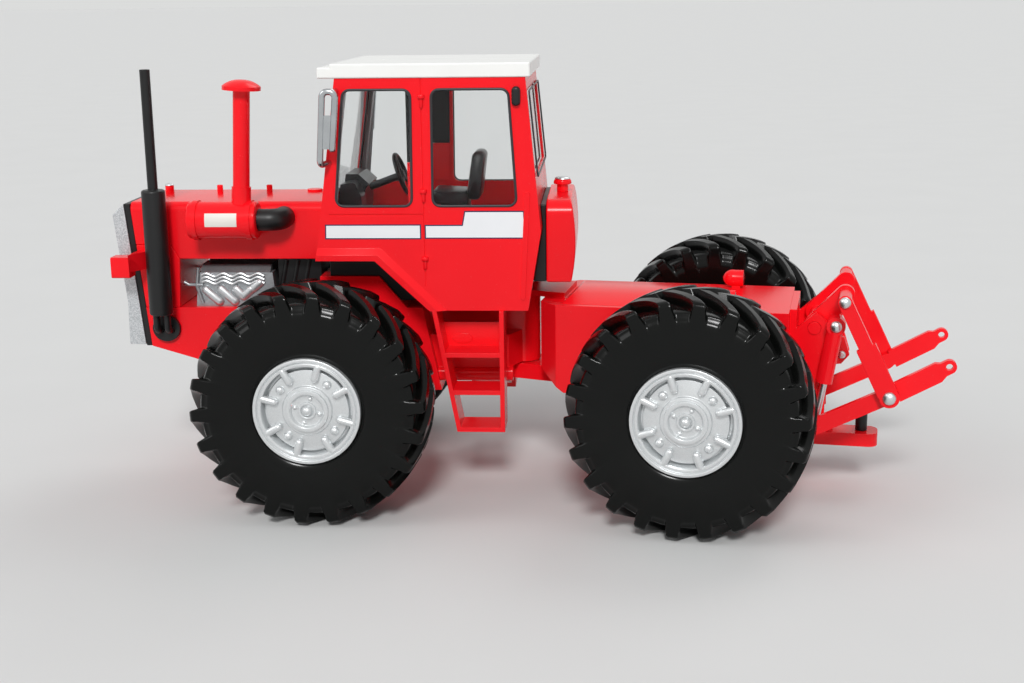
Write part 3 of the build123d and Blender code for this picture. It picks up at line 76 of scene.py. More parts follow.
def toRow(points, rear=False):
    # drawing millimetres to row metres; rear points first turn about the pivot's upright line
    p = np.array(points, float)
    if rear:
        dx = p[..., 0] - pivotX
        y = p[..., 1].copy()
        p[..., 0] = pivotX + dx * math.cos(rearTurn) - y * math.sin(rearTurn)
        p[..., 1] = dx * math.sin(rearTurn) + y * math.cos(rearTurn)
    return (p + rowShift) / 1000.0


# Mesh building

mergeWithin = 1e-6  # metres
crispAngle = 30.0  # edges sharper than this stay crisp or get a bevel
flatAngle = 1.0  # faces that differ by less lie in one plane
skirtDepth = 0.1  # a dome's foot goes this far into what carries it


def gridFaces(rows, columns, closeRows, closeColumns, first):
    # quads between neighbouring rows and columns of a grid, wrapped round where it is closed
    i = np.arange(rows if closeRows else rows - 1)[:, None]
    j = np.arange(columns if closeColumns else columns - 1)[None, :]
    nextI = (i + 1) % rows
    nextJ = (j + 1) % columns
    quads = np.stack([i * columns + j, nextI * columns + j, nextI * columns + nextJ, i * columns + nextJ], -1)
    return quads.reshape(-1, 4) + first


def piece(name, grids, finish, body, rear=False, sharp=40.0, nodes=()):
    # one mesh from several grids: each is (points, rows closed, columns closed); poles and seams are merged
    blocks, faces, first = [], [], 0
    for points, closeRows, closeColumns in grids:
        rows, columns = points.shape[:2]
        faces.append(gridFaces(rows, columns, closeRows, closeColumns, first))
        blocks.append(toRow(points, rear).reshape(-1, 3))
        first += rows * columns
    mesh = bpy.data.meshes.new(name)
    mesh.from_pydata(np.concatenate(blocks).tolist(), [], np.concatenate(faces).tolist())
    return dress(name, mesh, finish, body, sharp, nodes)


def cleaned(mesh):
    # doubles merged, empty faces dropped, faces turned outwards
    work = bmesh.new()
    work.from_mesh(mesh)
    bmesh.ops.remove_doubles(work, verts=work.verts, dist=mergeWithin)
    bmesh.ops.dissolve_degenerate(work, edges=work.edges, dist=mergeWithin / 10)
    bmesh.ops.recalc_face_normals(work, faces=work.faces)
    work.to_mesh(mesh)
    work.free()


def dress(name, mesh, finish, body, sharp=crispAngle, nodes=()):
    # clean the mesh, shade it, and seat the piece on its body
    cleaned(mesh)
    mesh.shade_smooth()
    mesh.set_sharp_from_angle(angle=math.radians(sharp))
    mesh.materials.append(finish)
    made = bpy.data.objects.new(name, mesh)
    bpy.context.scene.collection.objects.link(made)
    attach(made, body)
    if nodes:
        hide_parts(*nodes)
    return made


def ring(count):
    # angles of a full turn, without repeating the first
    return np.linspace(0.0, 2.0 * math.pi, count, endpoint=False)


def turned(profile, centre, axis, count):
    # a (radius, height) profile turned about an axis through a centre point; the ends close at radius 0
    profile = np.array(profile, float)
    along = np.array(axis, float) / np.linalg.norm(axis)
    side = np.cross(along, [0.0, 0.0, 1.0] if abs(along[2]) < 0.9 else [1.0, 0.0, 0.0])
    side /= np.linalg.norm(side)
    other = np.cross(along, side)
    angle = ring(count)[None, :, None]
    radius = profile[:, 0][:, None, None]
    points = np.array(centre, float) + profile[:, 1][:, None, None] * along
    return points + radius * (np.cos(angle) * side + np.sin(angle) * other), False, True


def dome(centre, axis, radius, height, rings, count=20):
    # quarter of an ellipse turned about its axis, with a short skirt below its foot
    t = np.linspace(0.0, math.pi / 2, rings)
    profile = np.stack([radius * np.cos(t), height * np.sin(t)], -1)
    foot = [[0.0, -skirtDepth], [radius, -skirtDepth]]
    return turned(np.concatenate([foot, profile]), centre, axis, count)


def carried(path, section, closed=False, up=(0.0, 1.0, 0.0)):
    # a closed (across, up) section carried along a path; it turns with the path and keeps its up direction
    path = np.array(path, float)
    if closed:
        along = np.roll(path, -1, 0) - np.roll(path, 1, 0)
    else:
        along = np.gradient(path, axis=0)
    along /= np.linalg.norm(along, axis=1)[:, None]
    across = np.cross(along, np.array(up, float))
    across /= np.linalg.norm(across, axis=1)[:, None]
    rise = np.cross(across, along)
    section = np.array(section, float)
    points = (path[:, None, :] + section[None, :, 0, None] * across[:, None, :]
              + section[None, :, 1, None] * rise[:, None, :])
    if not closed:
        points = np.concatenate([np.repeat(path[:1, None], len(section), 1), points,
                                 np.repeat(path[-1:, None], len(section), 1)])
    return points, closed, True


def roundSection(radius, count):
    # points of a circle, as (across, up)
    angle = ring(count)
    return np.stack([radius * np.cos(angle), radius * np.sin(angle)], -1)


def roundedLoop(corners, radius, steps=6, closed=True):
    # straight runs joined by arcs of one radius: each corner gives an arc between its two tangent points
    corners = np.array(corners, float)
    before = np.roll(corners, 1, 0) - corners
    after = np.roll(corners, -1, 0) - corners
    before /= np.linalg.norm(before, axis=1)[:, None]
    after /= np.linalg.norm(after, axis=1)[:, None]
    half = np.arccos(np.clip((before * after).sum(1), -1, 1)) / 2
    bisector = before + after
    bisector /= np.linalg.norm(bisector, axis=1)[:, None]
    centre = corners + bisector * (radius / np.sin(half))[:, None]
    start = corners + before * (radius / np.tan(half))[:, None] - centre
    end = corners + after * (radius / np.tan(half))[:, None] - centre
    t = np.linspace(0, 1, steps)[None, :, None]
    sweep = (math.pi - 2 * half)[:, None, None]
    arcs = (np.sin((1 - t) * sweep) * start[:, None] + np.sin(t * sweep) * end[:, None]) / np.sin(sweep)
    points = centre[:, None] + arcs
    if closed:
        return points.reshape(-1, corners.shape[1])
    return np.concatenate([corners[:1], points[1:-1].reshape(-1, corners.shape[1]), corners[-1:]])


def sidePoints(flat, y):
    # (x, z) points of a side view set at one y
    flat = np.array(flat, float)
    return np.stack([flat[..., 0], np.full(flat.shape[:-1], float(y)), flat[..., 1]], -1)


def sidePlate(loop, yFrom, yTo, edge):
    # a side-view loop as a closed plate: rows run from the middle of one face over its inset loop and bevelled edge
    # to the other face
    loop = np.array(loop, float)
    middle = loop.mean(0)
    reach = np.linalg.norm(loop - middle, axis=1)[:, None]
    inset = middle + (loop - middle) * (1 - edge / reach)
    depth = yTo - yFrom
    bevel = min(edge, abs(depth) / 2) * np.sign(depth)
    rows = [sidePoints(np.repeat(middle[None], len(loop), 0), yFrom), sidePoints(inset, yFrom),
            sidePoints(loop, yFrom + bevel), sidePoints(loop, yTo - bevel), sidePoints(inset, yTo),
            sidePoints(np.repeat(middle[None], len(loop), 0), yTo)]
    return np.stack(rows), False, True


def capsule(start, end, radius, rings=6, count=14):
    # a round bar between two points: a straight profile with a half circle at each end, turned about its own line
    start = np.array(start, float)
    axis = np.array(end, float) - start
    length = np.linalg.norm(axis)
    t = np.linspace(0.0, math.pi / 2, rings)
    cap = np.stack([radius * np.sin(t), -radius * np.cos(t)], -1)
    far = np.stack([cap[::-1, 0], length - cap[::-1, 1]], -1)
    return turned(np.concatenate([cap, far]), start, axis, count)


def prism(loop, xFrom, xTo):
    # a (y, z) loop carried straight along x and closed at both ends
    loop = np.array(loop, float)
    middle = np.repeat(loop.mean(0)[None], len(loop), 0)
    rows = [np.concatenate([np.full((len(loop), 1), x), flat], 1)
            for x, flat in ((xFrom, middle), (xFrom, loop), (xTo, loop), (xTo, middle))]
    return np.stack(rows), False, True


def plate(corners, offset):
    # a flat leaf: its corners, the same corners moved by an offset, and a middle point on each face
    corners = np.array(corners, float)
    middle = np.repeat(corners.mean(0)[None], len(corners), 0)
    moved = np.array(offset, float)
    return np.stack([middle, corners, corners + moved, middle + moved]), False, True


def asDrawn(grid):
    # the grid where it was drawn, on the left
    return grid


def mirrored(grid):
    # the same grid on the other side of the middle plane
    points, closeRows, closeColumns = grid
    return points * np.array([1.0, -1.0, 1.0]), closeRows, closeColumns


places = (("left", asDrawn), ("right", mirrored))


def slabMesh(name, corners, yFrom, yTo):
    # a side-view outline at two depths, closed by one face on each side
    corners = np.array(corners, float)
    count = len(corners)
    points = np.concatenate([sidePoints(corners, yFrom), sidePoints(corners, yTo)])
    faces = [list(range(count))[::-1], list(range(count, 2 * count))]
    faces += [[i, (i + 1) % count, (i + 1) % count + count, i + count] for i in range(count)]
    mesh = bpy.data.meshes.new(name)
    mesh.from_pydata(toRow(points).tolist(), [], faces)
    return mesh


def roundEdges(made, width, segments):
    # a bevel in millimetres on every crisp edge
    bevel = made.modifiers.new("edge", "BEVEL")
    bevel.width = width / 1000.0
    bevel.segments = segments
    bevel.limit_method = "ANGLE"
    bevel.angle_limit = math.radians(crispAngle)
    bevel.use_clamp_overlap = True
    bevel.harden_normals = True


def softened(node, finish, width):
    # a copy of a solid with its edges rounded: doubles merged, flat faces joined, then a bevel on the crisp edges;
    # a width of 0 keeps the solid's own edges
    source = frame["nodes"][node]
    mesh = source.data.copy()
    mesh.materials.clear()
    mesh.name = node + "_finished"
    work = bmesh.new()
    work.from_mesh(mesh)
    bmesh.ops.remove_doubles(work, verts=work.verts, dist=2 * mergeWithin)
    bmesh.ops.dissolve_limit(work, angle_limit=math.radians(flatAngle), verts=work.verts, edges=work.edges)
    work.to_mesh(mesh)
    work.free()
    if mesh.attributes.get("custom_normal"):
        mesh.attributes.remove(mesh.attributes["custom_normal"])
    mesh.shade_smooth()
    mesh.set_sharp_from_angle(angle=math.radians(crispAngle))
    mesh.materials.append(finish)
    made = bpy.data.objects.new(mesh.name, mesh)
    bpy.context.scene.collection.objects.link(made)
    if width > 0:
        roundEdges(made, width, segments=2)
    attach(made, source["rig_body"])
    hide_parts(node)
    return made


# Finishes

def linear(hexColour):
    # sRGB hex to linear RGBA
    channels = np.array([int(hexColour[i:i + 2], 16) for i in (1, 3, 5)]) / 255.0
    low = channels / 12.92
    high = ((channels + 0.055) / 1.055) ** 2.4
    return (*np.where(channels <= 0.04045, low, high).tolist(), 1.0)


def addNode(tree, kind, inputs=None, **settings):
    # one node, its settings, and its inputs as values or links
    node = tree.nodes.new(kind)
    for key, value in settings.items():
        setattr(node, key, value)
    for key, value in (inputs or {}).items():
        if isinstance(value, bpy.types.NodeSocket):
            tree.links.new(value, node.inputs[key])
        else:
            node.inputs[key].default_value = value
    return node


def startFinish(name):
    # an empty material with its output and its Object coordinates
    finish = bpy.data.materials.new(name)
    finish.use_nodes = True
    tree = finish.node_tree
    tree.nodes.clear()
    output = addNode(tree, "ShaderNodeOutputMaterial")
    place = addNode(tree, "ShaderNodeTexCoord").outputs["Object"]
    return finish, tree, output, place


millimetre = 0.001


def perMetre(sizeMm):
    # texture scale for a pattern that repeats about every so many millimetres
    return 1000.0 / sizeMm


def enamel(name, colour, deep):
    # gloss enamel sprayed on a zinc casting: deep even colour, a soft orange-peel ripple, a few pale dust specks
    finish, tree, output, place = startFinish(name)
    cloud = addNode(tree, "ShaderNodeTexNoise", {"Vector": place, "Scale": perMetre(14.0), "Detail": 3.0})
    ripple = addNode(tree, "ShaderNodeTexNoise", {"Vector": place, "Scale": perMetre(1.1), "Detail": 2.0})
    speck = addNode(tree, "ShaderNodeTexNoise", {"Vector": place, "Scale": perMetre(0.5), "Detail": 1.0})
    dust = addNode(tree, "ShaderNodeMapRange", {"Value": speck.outputs["Fac"], "From Min": 0.70, "From Max": 0.80,
                                                "To Min": 0.0, "To Max": 0.04})
    tone = addNode(tree, "ShaderNodeMix", {"Factor": cloud.outputs["Fac"], "A": linear(deep), "B": linear(colour)},
                   data_type="RGBA")
    dusted = addNode(tree, "ShaderNodeMix", {"Factor": dust.outputs["Result"], "A": tone.outputs["Result"],
                                             "B": linear("#E9C9C4")}, data_type="RGBA")
    gloss = addNode(tree, "ShaderNodeMapRange", {"Value": cloud.outputs["Fac"], "To Min": 0.16, "To Max": 0.26})
    bump = addNode(tree, "ShaderNodeBump", {"Height": ripple.outputs["Fac"], "Strength": 0.10,
                                            "Distance": 0.010 * millimetre})
    shader = addNode(tree, "ShaderNodeBsdfPrincipled", {
        "Base Color": dusted.outputs["Result"], "Roughness": gloss.outputs["Result"], "IOR": 1.52,
        "Specular IOR Level": 0.22, "Normal": bump.outputs["Normal"]})
    tree.links.new(shader.outputs["BSDF"], output.inputs["Surface"])
    return finish


def flakePaint(name, colour, dark, flakeMm, rough, contrast, metal):
    # silver paint with aluminium flake: bright grains in a grey binder, soft metallic sheen; the flake is drawn
    # coarser than it is, so that it shows
    finish, tree, output, place = startFinish(name)
    flake = addNode(tree, "ShaderNodeTexVoronoi", {"Vector": place, "Scale": perMetre(flakeMm)})
    grain = addNode(tree, "ShaderNodeSeparateColor", {"Color": flake.outputs["Color"]})
    cloud = addNode(tree, "ShaderNodeTexNoise", {"Vector": place, "Scale": perMetre(6.0), "Detail": 3.0})
    share = addNode(tree, "ShaderNodeMapRange", {"Value": grain.outputs["Red"], "To Min": 0.5 - contrast / 2,
                                                 "To Max": 0.5 + contrast / 2})
    tone = addNode(tree, "ShaderNodeMix", {"Factor": share.outputs["Result"], "A": linear(dark),
                                           "B": linear(colour)}, data_type="RGBA")
    gloss = addNode(tree, "ShaderNodeMapRange", {"Value": cloud.outputs["Fac"], "To Min": rough - 0.06,
                                                 "To Max": rough + 0.08})
    bump = addNode(tree, "ShaderNodeBump", {"Height": grain.outputs["Red"], "Strength": 0.2,
                                            "Distance": 0.008 * millimetre})
    shader = addNode(tree, "ShaderNodeBsdfPrincipled", {
        "Base Color": tone.outputs["Result"], "Roughness": gloss.outputs["Result"], "Metallic": metal,
        "Normal": bump.outputs["Normal"]})
    tree.links.new(shader.outputs["BSDF"], output.inputs["Surface"])
    return finish


def moulded(name, colour, pale, rough, grainMm, relief, shine=0.5):
    # injection-moulded plastic: even colour with a faint cloud, and the mould's fine texture in its gloss and relief,
    # drawn coarser than it is, so that it shows
    finish, tree, output, place = startFinish(name)
    cloud = addNode(tree, "ShaderNodeTexNoise", {"Vector": place, "Scale": perMetre(8.0), "Detail": 4.0})
    grain = addNode(tree, "ShaderNodeTexNoise", {"Vector": place, "Scale": perMetre(grainMm), "Detail": 2.0})
    tone = addNode(tree, "ShaderNodeMix", {"Factor": cloud.outputs["Fac"], "A": linear(colour), "B": linear(pale)},
                   data_type="RGBA")
    gloss = addNode(tree, "ShaderNodeMapRange", {"Value": cloud.outputs["Fac"], "To Min": max(0.02, rough - 0.07),
                                                 "To Max": rough + 0.07})
    bump = addNode(tree, "ShaderNodeBump", {"Height": grain.outputs["Fac"], "Strength": 0.25,
                                            "Distance": relief * millimetre})
    shader = addNode(tree, "ShaderNodeBsdfPrincipled", {
        "Base Color": tone.outputs["Result"], "Roughness": gloss.outputs["Result"], "IOR": 1.5,
        "Specular IOR Level": shine, "Normal": bump.outputs["Normal"]})
    tree.links.new(shader.outputs["BSDF"], output.inputs["Surface"])
    return finish


def brightMetal(name, colour, dark, rough):
    # plated or vacuum-metallised surface: mirror metal softened by fine haze
    finish, tree, output, place = startFinish(name)
    haze = addNode(tree, "ShaderNodeTexNoise", {"Vector": place, "Scale": perMetre(2.5), "Detail": 4.0})
    tone = addNode(tree, "ShaderNodeMix", {"Factor": haze.outputs["Fac"], "A": linear(dark), "B": linear(colour)},
                   data_type="RGBA")
    gloss = addNode(tree, "ShaderNodeMapRange", {"Value": haze.outputs["Fac"], "To Min": max(0.03, rough - 0.08),
                                                 "To Max": rough + 0.08})
    shader = addNode(tree, "ShaderNodeBsdfPrincipled", {
        "Base Color": tone.outputs["Result"], "Roughness": gloss.outputs["Result"], "Metallic": 1.0})
    tree.links.new(shader.outputs["BSDF"], output.inputs["Surface"])
    return finish


def clearSheet(name, tint, rough):
    # clear polystyrene glazing: almost colourless with a faint mould haze; a low IOR stands for so thin a sheet
    finish, tree, output, place = startFinish(name)
    haze = addNode(tree, "ShaderNodeTexNoise", {"Vector": place, "Scale": perMetre(9.0), "Detail": 3.0})
    gloss = addNode(tree, "ShaderNodeMapRange", {"Value": haze.outputs["Fac"], "To Min": 0.0, "To Max": rough})
    shader = addNode(tree, "ShaderNodeBsdfPrincipled", {
        "Base Color": linear(tint), "Roughness": gloss.outputs["Result"], "IOR": 1.2, "Transmission Weight": 1.0})
    tree.links.new(shader.outputs["BSDF"], output.inputs["Surface"])
    return finish


redEnamel = enamel("die_cast_red_enamel", "#FA1622", "#F0101C")
silverEnamel = flakePaint("silver_flake_enamel", "#E2E4E5", "#CFD2D3",
                          flakeMm=0.12, rough=0.33, contrast=0.7, metal=0.65)
grillePaint = flakePaint("coarse_silver_flake_paint", "#D8DADC", "#AEB2B5",
                         flakeMm=0.22, rough=0.46, contrast=1.0, metal=0.55)
engineSilver = flakePaint("metallised_plastic_in_shade", "#B2B5B8", "#9A9DA0",
                          flakeMm=0.5, rough=0.32, contrast=0.5, metal=0.7)
reliefSilver = flakePaint("metallised_plastic_relief", "#D6D8DA", "#C4C7C9",
                          flakeMm=0.5, rough=0.40, contrast=0.5, metal=0.7)
mirrorChrome = brightMetal("plated_mirror_frame", "#CDD0D2", "#B0B3B6", rough=0.22)
rivetSteel = brightMetal("nickel_plated_steel", "#E4E6E7", "#CACDCF", rough=0.34)
tyreVinyl = moulded("gloss_black_vinyl", "#070807", "#0B0C0B", rough=0.20, grainMm=0.9, relief=0.008, shine=0.2)
blackSatin = moulded("satin_black_polystyrene", "#101011", "#171718", rough=0.40, grainMm=0.5, relief=0.010,
                     shine=0.4)
cabPlastic = moulded("dark_grey_moulded_plastic", "#1C1E20", "#26282B", rough=0.30, grainMm=0.7, relief=0.010)
sealPaint = moulded("printed_grey_window_seal", "#242428", "#303035", rough=0.40, grainMm=0.6, relief=0.006)
greyLining = moulded("pale_grey_moulded_trim", "#B4B6B8", "#A8AAAC", rough=0.34, grainMm=0.7, relief=0.006)
roofPlastic = moulded("white_gloss_plastic", "#F4F4F1", "#EDEDEA", rough=0.24, grainMm=1.2, relief=0.006)
whitePrint = moulded("white_pad_print", "#EDEEF0", "#E6E7EA", rough=0.34, grainMm=0.6, relief=0.003)
labelFoil = moulded("pale_foil_label", "#E9E6DE", "#DDD9D0", rough=0.36, grainMm=0.5, relief=0.004)
navyPrint = moulded("navy_pad_print", "#17123F", "#1D184C", rough=0.36, grainMm=0.6, relief=0.003)
glazing = clearSheet("clear_polystyrene_glazing", "#FAFBFB", rough=0.02)
redLens = moulded("red_tinted_plastic", "#A40A10", "#8C080D", rough=0.14, grainMm=0.8, relief=0.003)
lampLens = brightMetal("silvered_lamp_lens", "#E6E8EA", "#CDD0D3", rough=0.16)
print("finishes made:", len(bpy.data.materials))


# Wheels

tyre = {"lugs": 22, "radius": 27.6, "halfWidth": 10.0, "bead": 12.25, "beadAt": 8.6, "lugTop": 2.5, "lugFlank": 0.75,
        "flare": 0.085, "flareFrom": 26.5, "flareOver": 6.0, "skew": 8.0, "skewBend": 1.35, "overlap": 0.9,
        "overlapEdge": 0.5, "turn": -5.7, "pitchColumns": 28, "boreRows": 3,
        "shares": [0.0, 0.03, 0.08, 0.15, 0.24, 0.33, 0.42, 0.47, 0.50, 0.53, 0.56, 0.59, 0.61, 0.63, 0.66, 0.70,
                   0.75, 0.80, 0.85, 0.90, 0.95, 1.0],
        "knots": [0.0, 0.04, 0.12, 0.24, 0.36, 0.47, 0.53, 0.61, 0.66, 0.80, 1.0],
        "floorR": [12.25, 12.65, 13.7, 16.2, 18.6, 22.2, 23.2, 24.0, 24.4, 24.8, 24.9],
        "floorY": [8.6, 9.05, 9.5, 9.85, 9.97, 9.87, 9.2, 8.9, 8.2, 4.2, 0.0],
        "topR": [12.25, 12.65, 13.7, 16.2, 18.6, 22.2, 23.6, 26.1, 26.75, 27.3, 27.6],
        "topY": [8.6, 9.05, 9.5, 9.85, 9.97, 10.0, 9.99, 9.85, 9.2, 4.6, 0.0]}


def wheelCentre(end, sign):
    # the middle of a wheel in the drawing frame
    return np.array([axleX[end], sign * track / 2, tyre["radius"]])


def tyreGrid(t, sign):
    # the half profile runs from the bead (share 0) to the middle of the tread (share 1), as carcass and lug-top
    # points, and is mirrored to the other bead; columns run round and follow the lugs; each point is mixed between
    # carcass and lug top by a mask that is 1 on a lug, and the two sides' lugs are half a pitch apart
    floorR, floorY, topR, topY = [np.interp(t["shares"], t["knots"], t[key])
                                  for key in ("floorR", "floorY", "topR", "topY")]
    floorR, topR = [np.concatenate([v, v[::-1][1:]]) for v in (floorR, topR)]
    floorY, topY = [np.concatenate([v, -v[::-1][1:]]) for v in (floorY, topY)]
    columns = t["lugs"] * t["pitchColumns"]
    step = np.arange(columns) / t["pitchColumns"]
    pitch = 2 * math.pi / t["lugs"]
    halfLug = t["lugTop"] / 2 / (pitch * t["radius"])
    flank = t["lugFlank"] / (pitch * t["radius"])
    flare = (np.clip((t["flareFrom"] - topR) / t["flareOver"], 0.0, 1.0) * t["flare"])[:, None]

    def lugMask(phase, beyond):
        # smooth step across a lug's flank, faded out past the middle of the tread
        away = np.abs((step[None, :] + phase) % 1.0 - 0.5)
        edge = np.clip((halfLug + flare + flank - away) / flank, 0.0, 1.0)
        return edge * edge * (3 - 2 * edge) * np.clip(beyond / t["overlapEdge"], 0.0, 1.0)[:, None]

    mask = np.maximum(lugMask(0.0, t["overlap"] + topY), lugMask(0.5, t["overlap"] - topY))
    bend = t["skew"] * (1 - np.clip(np.abs(topY / t["halfWidth"]), 0, 1)) ** t["skewBend"] / t["radius"]
    angle = step[None, :] * pitch + bend[:, None] + math.radians(t["turn"])
    radius = floorR[:, None] * (1 - mask) + topR[:, None] * mask
    across = floorY[:, None] * (1 - mask) + topY[:, None] * mask
    bore = np.linspace(-t["beadAt"], t["beadAt"], t["boreRows"] + 2)[1:-1, None]
    radius = np.concatenate([radius, np.full((t["boreRows"], columns), t["bead"])])
    across = np.concatenate([across, np.repeat(bore, columns, 1)])
    angle = np.concatenate([angle, np.repeat(angle[-1:], t["boreRows"], 0)])
    return np.stack([radius * np.cos(angle), sign * across, radius * np.sin(angle)], -1)


for end, side, sign in wheels:
    piece(f"tyre_tread_{end}_{side}", [(tyreGrid(tyre, sign) + wheelCentre(end, sign), True, True)], tyreVinyl,
          f"wheel_{end}_{side}", rear=end == "rear", sharp=50.0, nodes=[f"tyre_{end}_{side}"])
print("tyres made")

rim = {"discFace": 8.4, "recess": 8.7, "domeRadius": 1.2, "domeTop": 9.9, "domeRings": 7, "edge": 0.1, "sides": 72,
       "studs": 8, "studInner": 7.7, "studOuter": 10.5, "studRadius": 0.9, "studLift": 0.55,
       "nuts": 4, "nutCircle": 7.6, "nutRadius": 1.05, "nutHeight": 0.95,
       "bolts": 4, "boltCircle": 2.85, "boltRadius": 0.55, "boltHeight": 0.5, "turns": {"front": 29.5, "rear": 19.0},
       "cap": [(1.25, 8.6), (1.5, 9.15), (1.95, 9.15), (2.1, 8.7), (3.5, 8.7), (3.9, 9.5), (4.8, 9.5), (4.9, 8.9),
               (5.5, 8.9)],
       "disc": [(5.8, 8.4), (9.35, 8.4), (9.45, 6.7), (10.0, 6.7)],
       "flange": [(10.4, 9.7), (11.0, 9.75), (11.25, 9.4), (11.5, 9.95), (12.17, 9.9), (12.17, -6.5), (11.1, -6.5)],
       "back": [(11.0, 5.8), (5.9, 5.8), (5.8, -6.5), (2.06, -6.5), (2.06, 7.3), (0.0, 7.3)]}


def rimProfile(r):
    # (radius, height) from the hub's domed middle out over cap, disc, gap and flange, then back to the axle bore
    t = np.linspace(math.pi / 2, 0.0, r["domeRings"])
    middle = np.stack([r["domeRadius"] * np.cos(t), r["recess"] + (r["domeTop"] - r["recess"]) * np.sin(t)], -1)
    corners = [middle[-1]] + r["cap"] + r["disc"] + r["flange"] + r["back"]
    return np.concatenate([middle, roundedLoop(corners, r["edge"], steps=3, closed=False)])


def rimGrids(r, centre, sign, turn):
    # the turned casting with its studs, nuts and bolts set round it
    def spot(radius, degrees, height):
        angle = math.radians(degrees)
        return centre + np.array([radius * math.cos(angle), sign * height, radius * math.sin(angle)])

    out = (0.0, float(sign), 0.0)
    level = r["discFace"] + r["studLift"]
    grids = [turned(rimProfile(r), centre, out, r["sides"])]
    for k in range(r["studs"]):
        at = turn + 360.0 / r["studs"] * k
        grids.append(capsule(spot(r["studInner"], at, level), spot(r["studOuter"], at, level), r["studRadius"]))
    for k in range(r["nuts"]):
        at = spot(r["nutCircle"], turn + 180.0 / r["studs"] + 360.0 / r["nuts"] * k, r["discFace"])
        grids.append(dome(at, out, r["nutRadius"], r["nutHeight"], rings=6, count=16))
    for k in range(r["bolts"]):
        at = spot(r["boltCircle"], turn + 180.0 / r["bolts"] + 360.0 / r["bolts"] * k, r["recess"])
        grids.append(dome(at, out, r["boltRadius"], r["boltHeight"], rings=4, count=12))
    return grids


for end, side, sign in wheels:
    piece(f"rim_casting_{end}_{side}", rimGrids(rim, wheelCentre(end, sign), sign, rim["turns"][end]), silverEnamel,
          f"wheel_{end}_{side}", rear=end == "rear", sharp=35.0, nodes=[f"rim_{end}_{side}"])
print("rims made")


# Bodywork: the castings with rounded edges

bodywork = {
    "front_chassis": (redEnamel, 0.35), "nose_panels": (redEnamel, 0.30), "hood": (redEnamel, 0.25),
    "fenders": (redEnamel, 0.30), "cab_side_left": (redEnamel, 0.22), "cab_side_right": (redEnamel, 0.22),
    "cab_front": (redEnamel, 0.20), "cab_rear": (redEnamel, 0.20), "fuel_tank": (redEnamel, 0.40),
    "steps_left": (redEnamel, 0.25), "steps_right": (redEnamel, 0.25), "rear_chassis": (redEnamel, 0.35),
    "deck_hatch": (redEnamel, 0.20), "hitch_tower": (redEnamel, 0.20), "lift_rocker": (redEnamel, 0.20),
    "lower_links": (redEnamel, 0.20), "lift_rods": (redEnamel, 0.20), "cylinder_tubes": (redEnamel, 0.15),
    "drawbar": (redEnamel, 0.30), "headlamps": (redEnamel, 0.20), "air_cleaner": (redEnamel, 0.12),
    "intake_stack": (redEnamel, 0.15), "hood_fittings": (redEnamel, 0.0), "tank_cap": (redEnamel, 0.10),
    "front_axle": (redEnamel, 0.25), "rear_axle": (redEnamel, 0.25), "tail_lamps": (redEnamel, 0.12),
    "grille": (grillePaint, 0.15), "mirrors": (mirrorChrome, 0.0), "engine_block": (engineSilver, 0.0),
    "grille_gasket": (blackSatin, 0.25), "exhaust": (blackSatin, 0.10), "intake_elbow": (blackSatin, 0.15),
    "tank_gasket": (blackSatin, 0.25), "drawbar_pins": (blackSatin, 0.20), "cab_base": (blackSatin, 0.30),
    "transmission": (blackSatin, 0.25), "cab_lamps": (blackSatin, 0.0), "cab_floor": (cabPlastic, 0.15),
    "dash": (cabPlastic, 0.40),
}
for node, (finish, width) in bodywork.items():
    softened(node, finish, width)

plain = {"pivot_pin": rivetSteel, "cylinder_rods": rivetSteel, "side_glass_left": glazing,
         "side_glass_right": glazing, "windscreen": glazing, "rear_glass": glazing, "steering_wheel": blackSatin,
         "headlamp_lenses": lampLens}
for node, finish in plain.items():
    frame["nodes"][node].data.materials.clear()
    frame["nodes"][node].data.materials.append(finish)
print("bodywork finished:", len(bodywork), "rounded,", len(plain), "plain")


# Cab trim

roof = {"half": 24.4, "edge": 0.4, "segments": 3,
        "side": [(1.1, 99.7), (1.1, 102.2), (4.0, 102.2), (4.0, 102.995), (49.5, 102.995), (49.5, 99.7)]}
roofMesh = slabMesh("moulded_roof", roof["side"], -roof["half"], roof["half"])
roofPiece = dress("moulded_roof", roofMesh, roofPlastic, "front_frame", nodes=["cab_roof"])
roundEdges(roofPiece, roof["edge"], roof["segments"])

cabFace = 24.0  # the cab's side walls stand this far from the middle
windows = {"front": [(6.8, 97.1), (22.3, 97.1), (22.0, 70.6), (4.2, 70.6)],
           "rear": [(27.0, 97.1), (44.5, 97.1), (46.2, 70.6), (26.8, 70.6)], "corner": 1.8, "bead": 0.3}
endGlass = {"windscreen_seal": {"low": (2.3, 72.5), "high": (5.75, 97.0), "half": 20.6, "bead": 0.3},
            "rear_glass_seal": {"low": (51.0, 77.0), "high": (49.1, 96.5), "half": 21.6, "bead": 0.22}}
endCorner = 1.2
beadSides = 10


def sideSeal(corners):
    # a round bead carried along a side window's rounded edge
    loop = sidePoints(roundedLoop(corners, windows["corner"]), -cabFace)
    return carried(loop, roundSection(windows["bead"], beadSides), closed=True)


def endSeal(t):
    # a round bead carried round a leaning window, from its (x, z) lower and upper edges and its half width
    (lowX, lowZ), (highX, highZ), half = t["low"], t["high"], t["half"]
    corners = [(lowX, -half, lowZ), (highX, -half, highZ), (highX, half, highZ), (lowX, half, lowZ)]
    section = roundSection(t["bead"], beadSides)
    return carried(roundedLoop(corners, endCorner), section, closed=True, up=(1.0, 0.0, 0.0))


hinges = {"x": 24.75, "heights": (95.0, 73.5, 57.8), "proud": 0.1, "sides": 16,
          "profile": [(0.0, -2.0), (0.35, -1.95), (0.45, -1.8), (0.45, 0.0), (0.8, 0.1), (0.85, 0.3), (0.85, 0.8),
                      (0.7, 1.0), (0.0, 1.05)]}


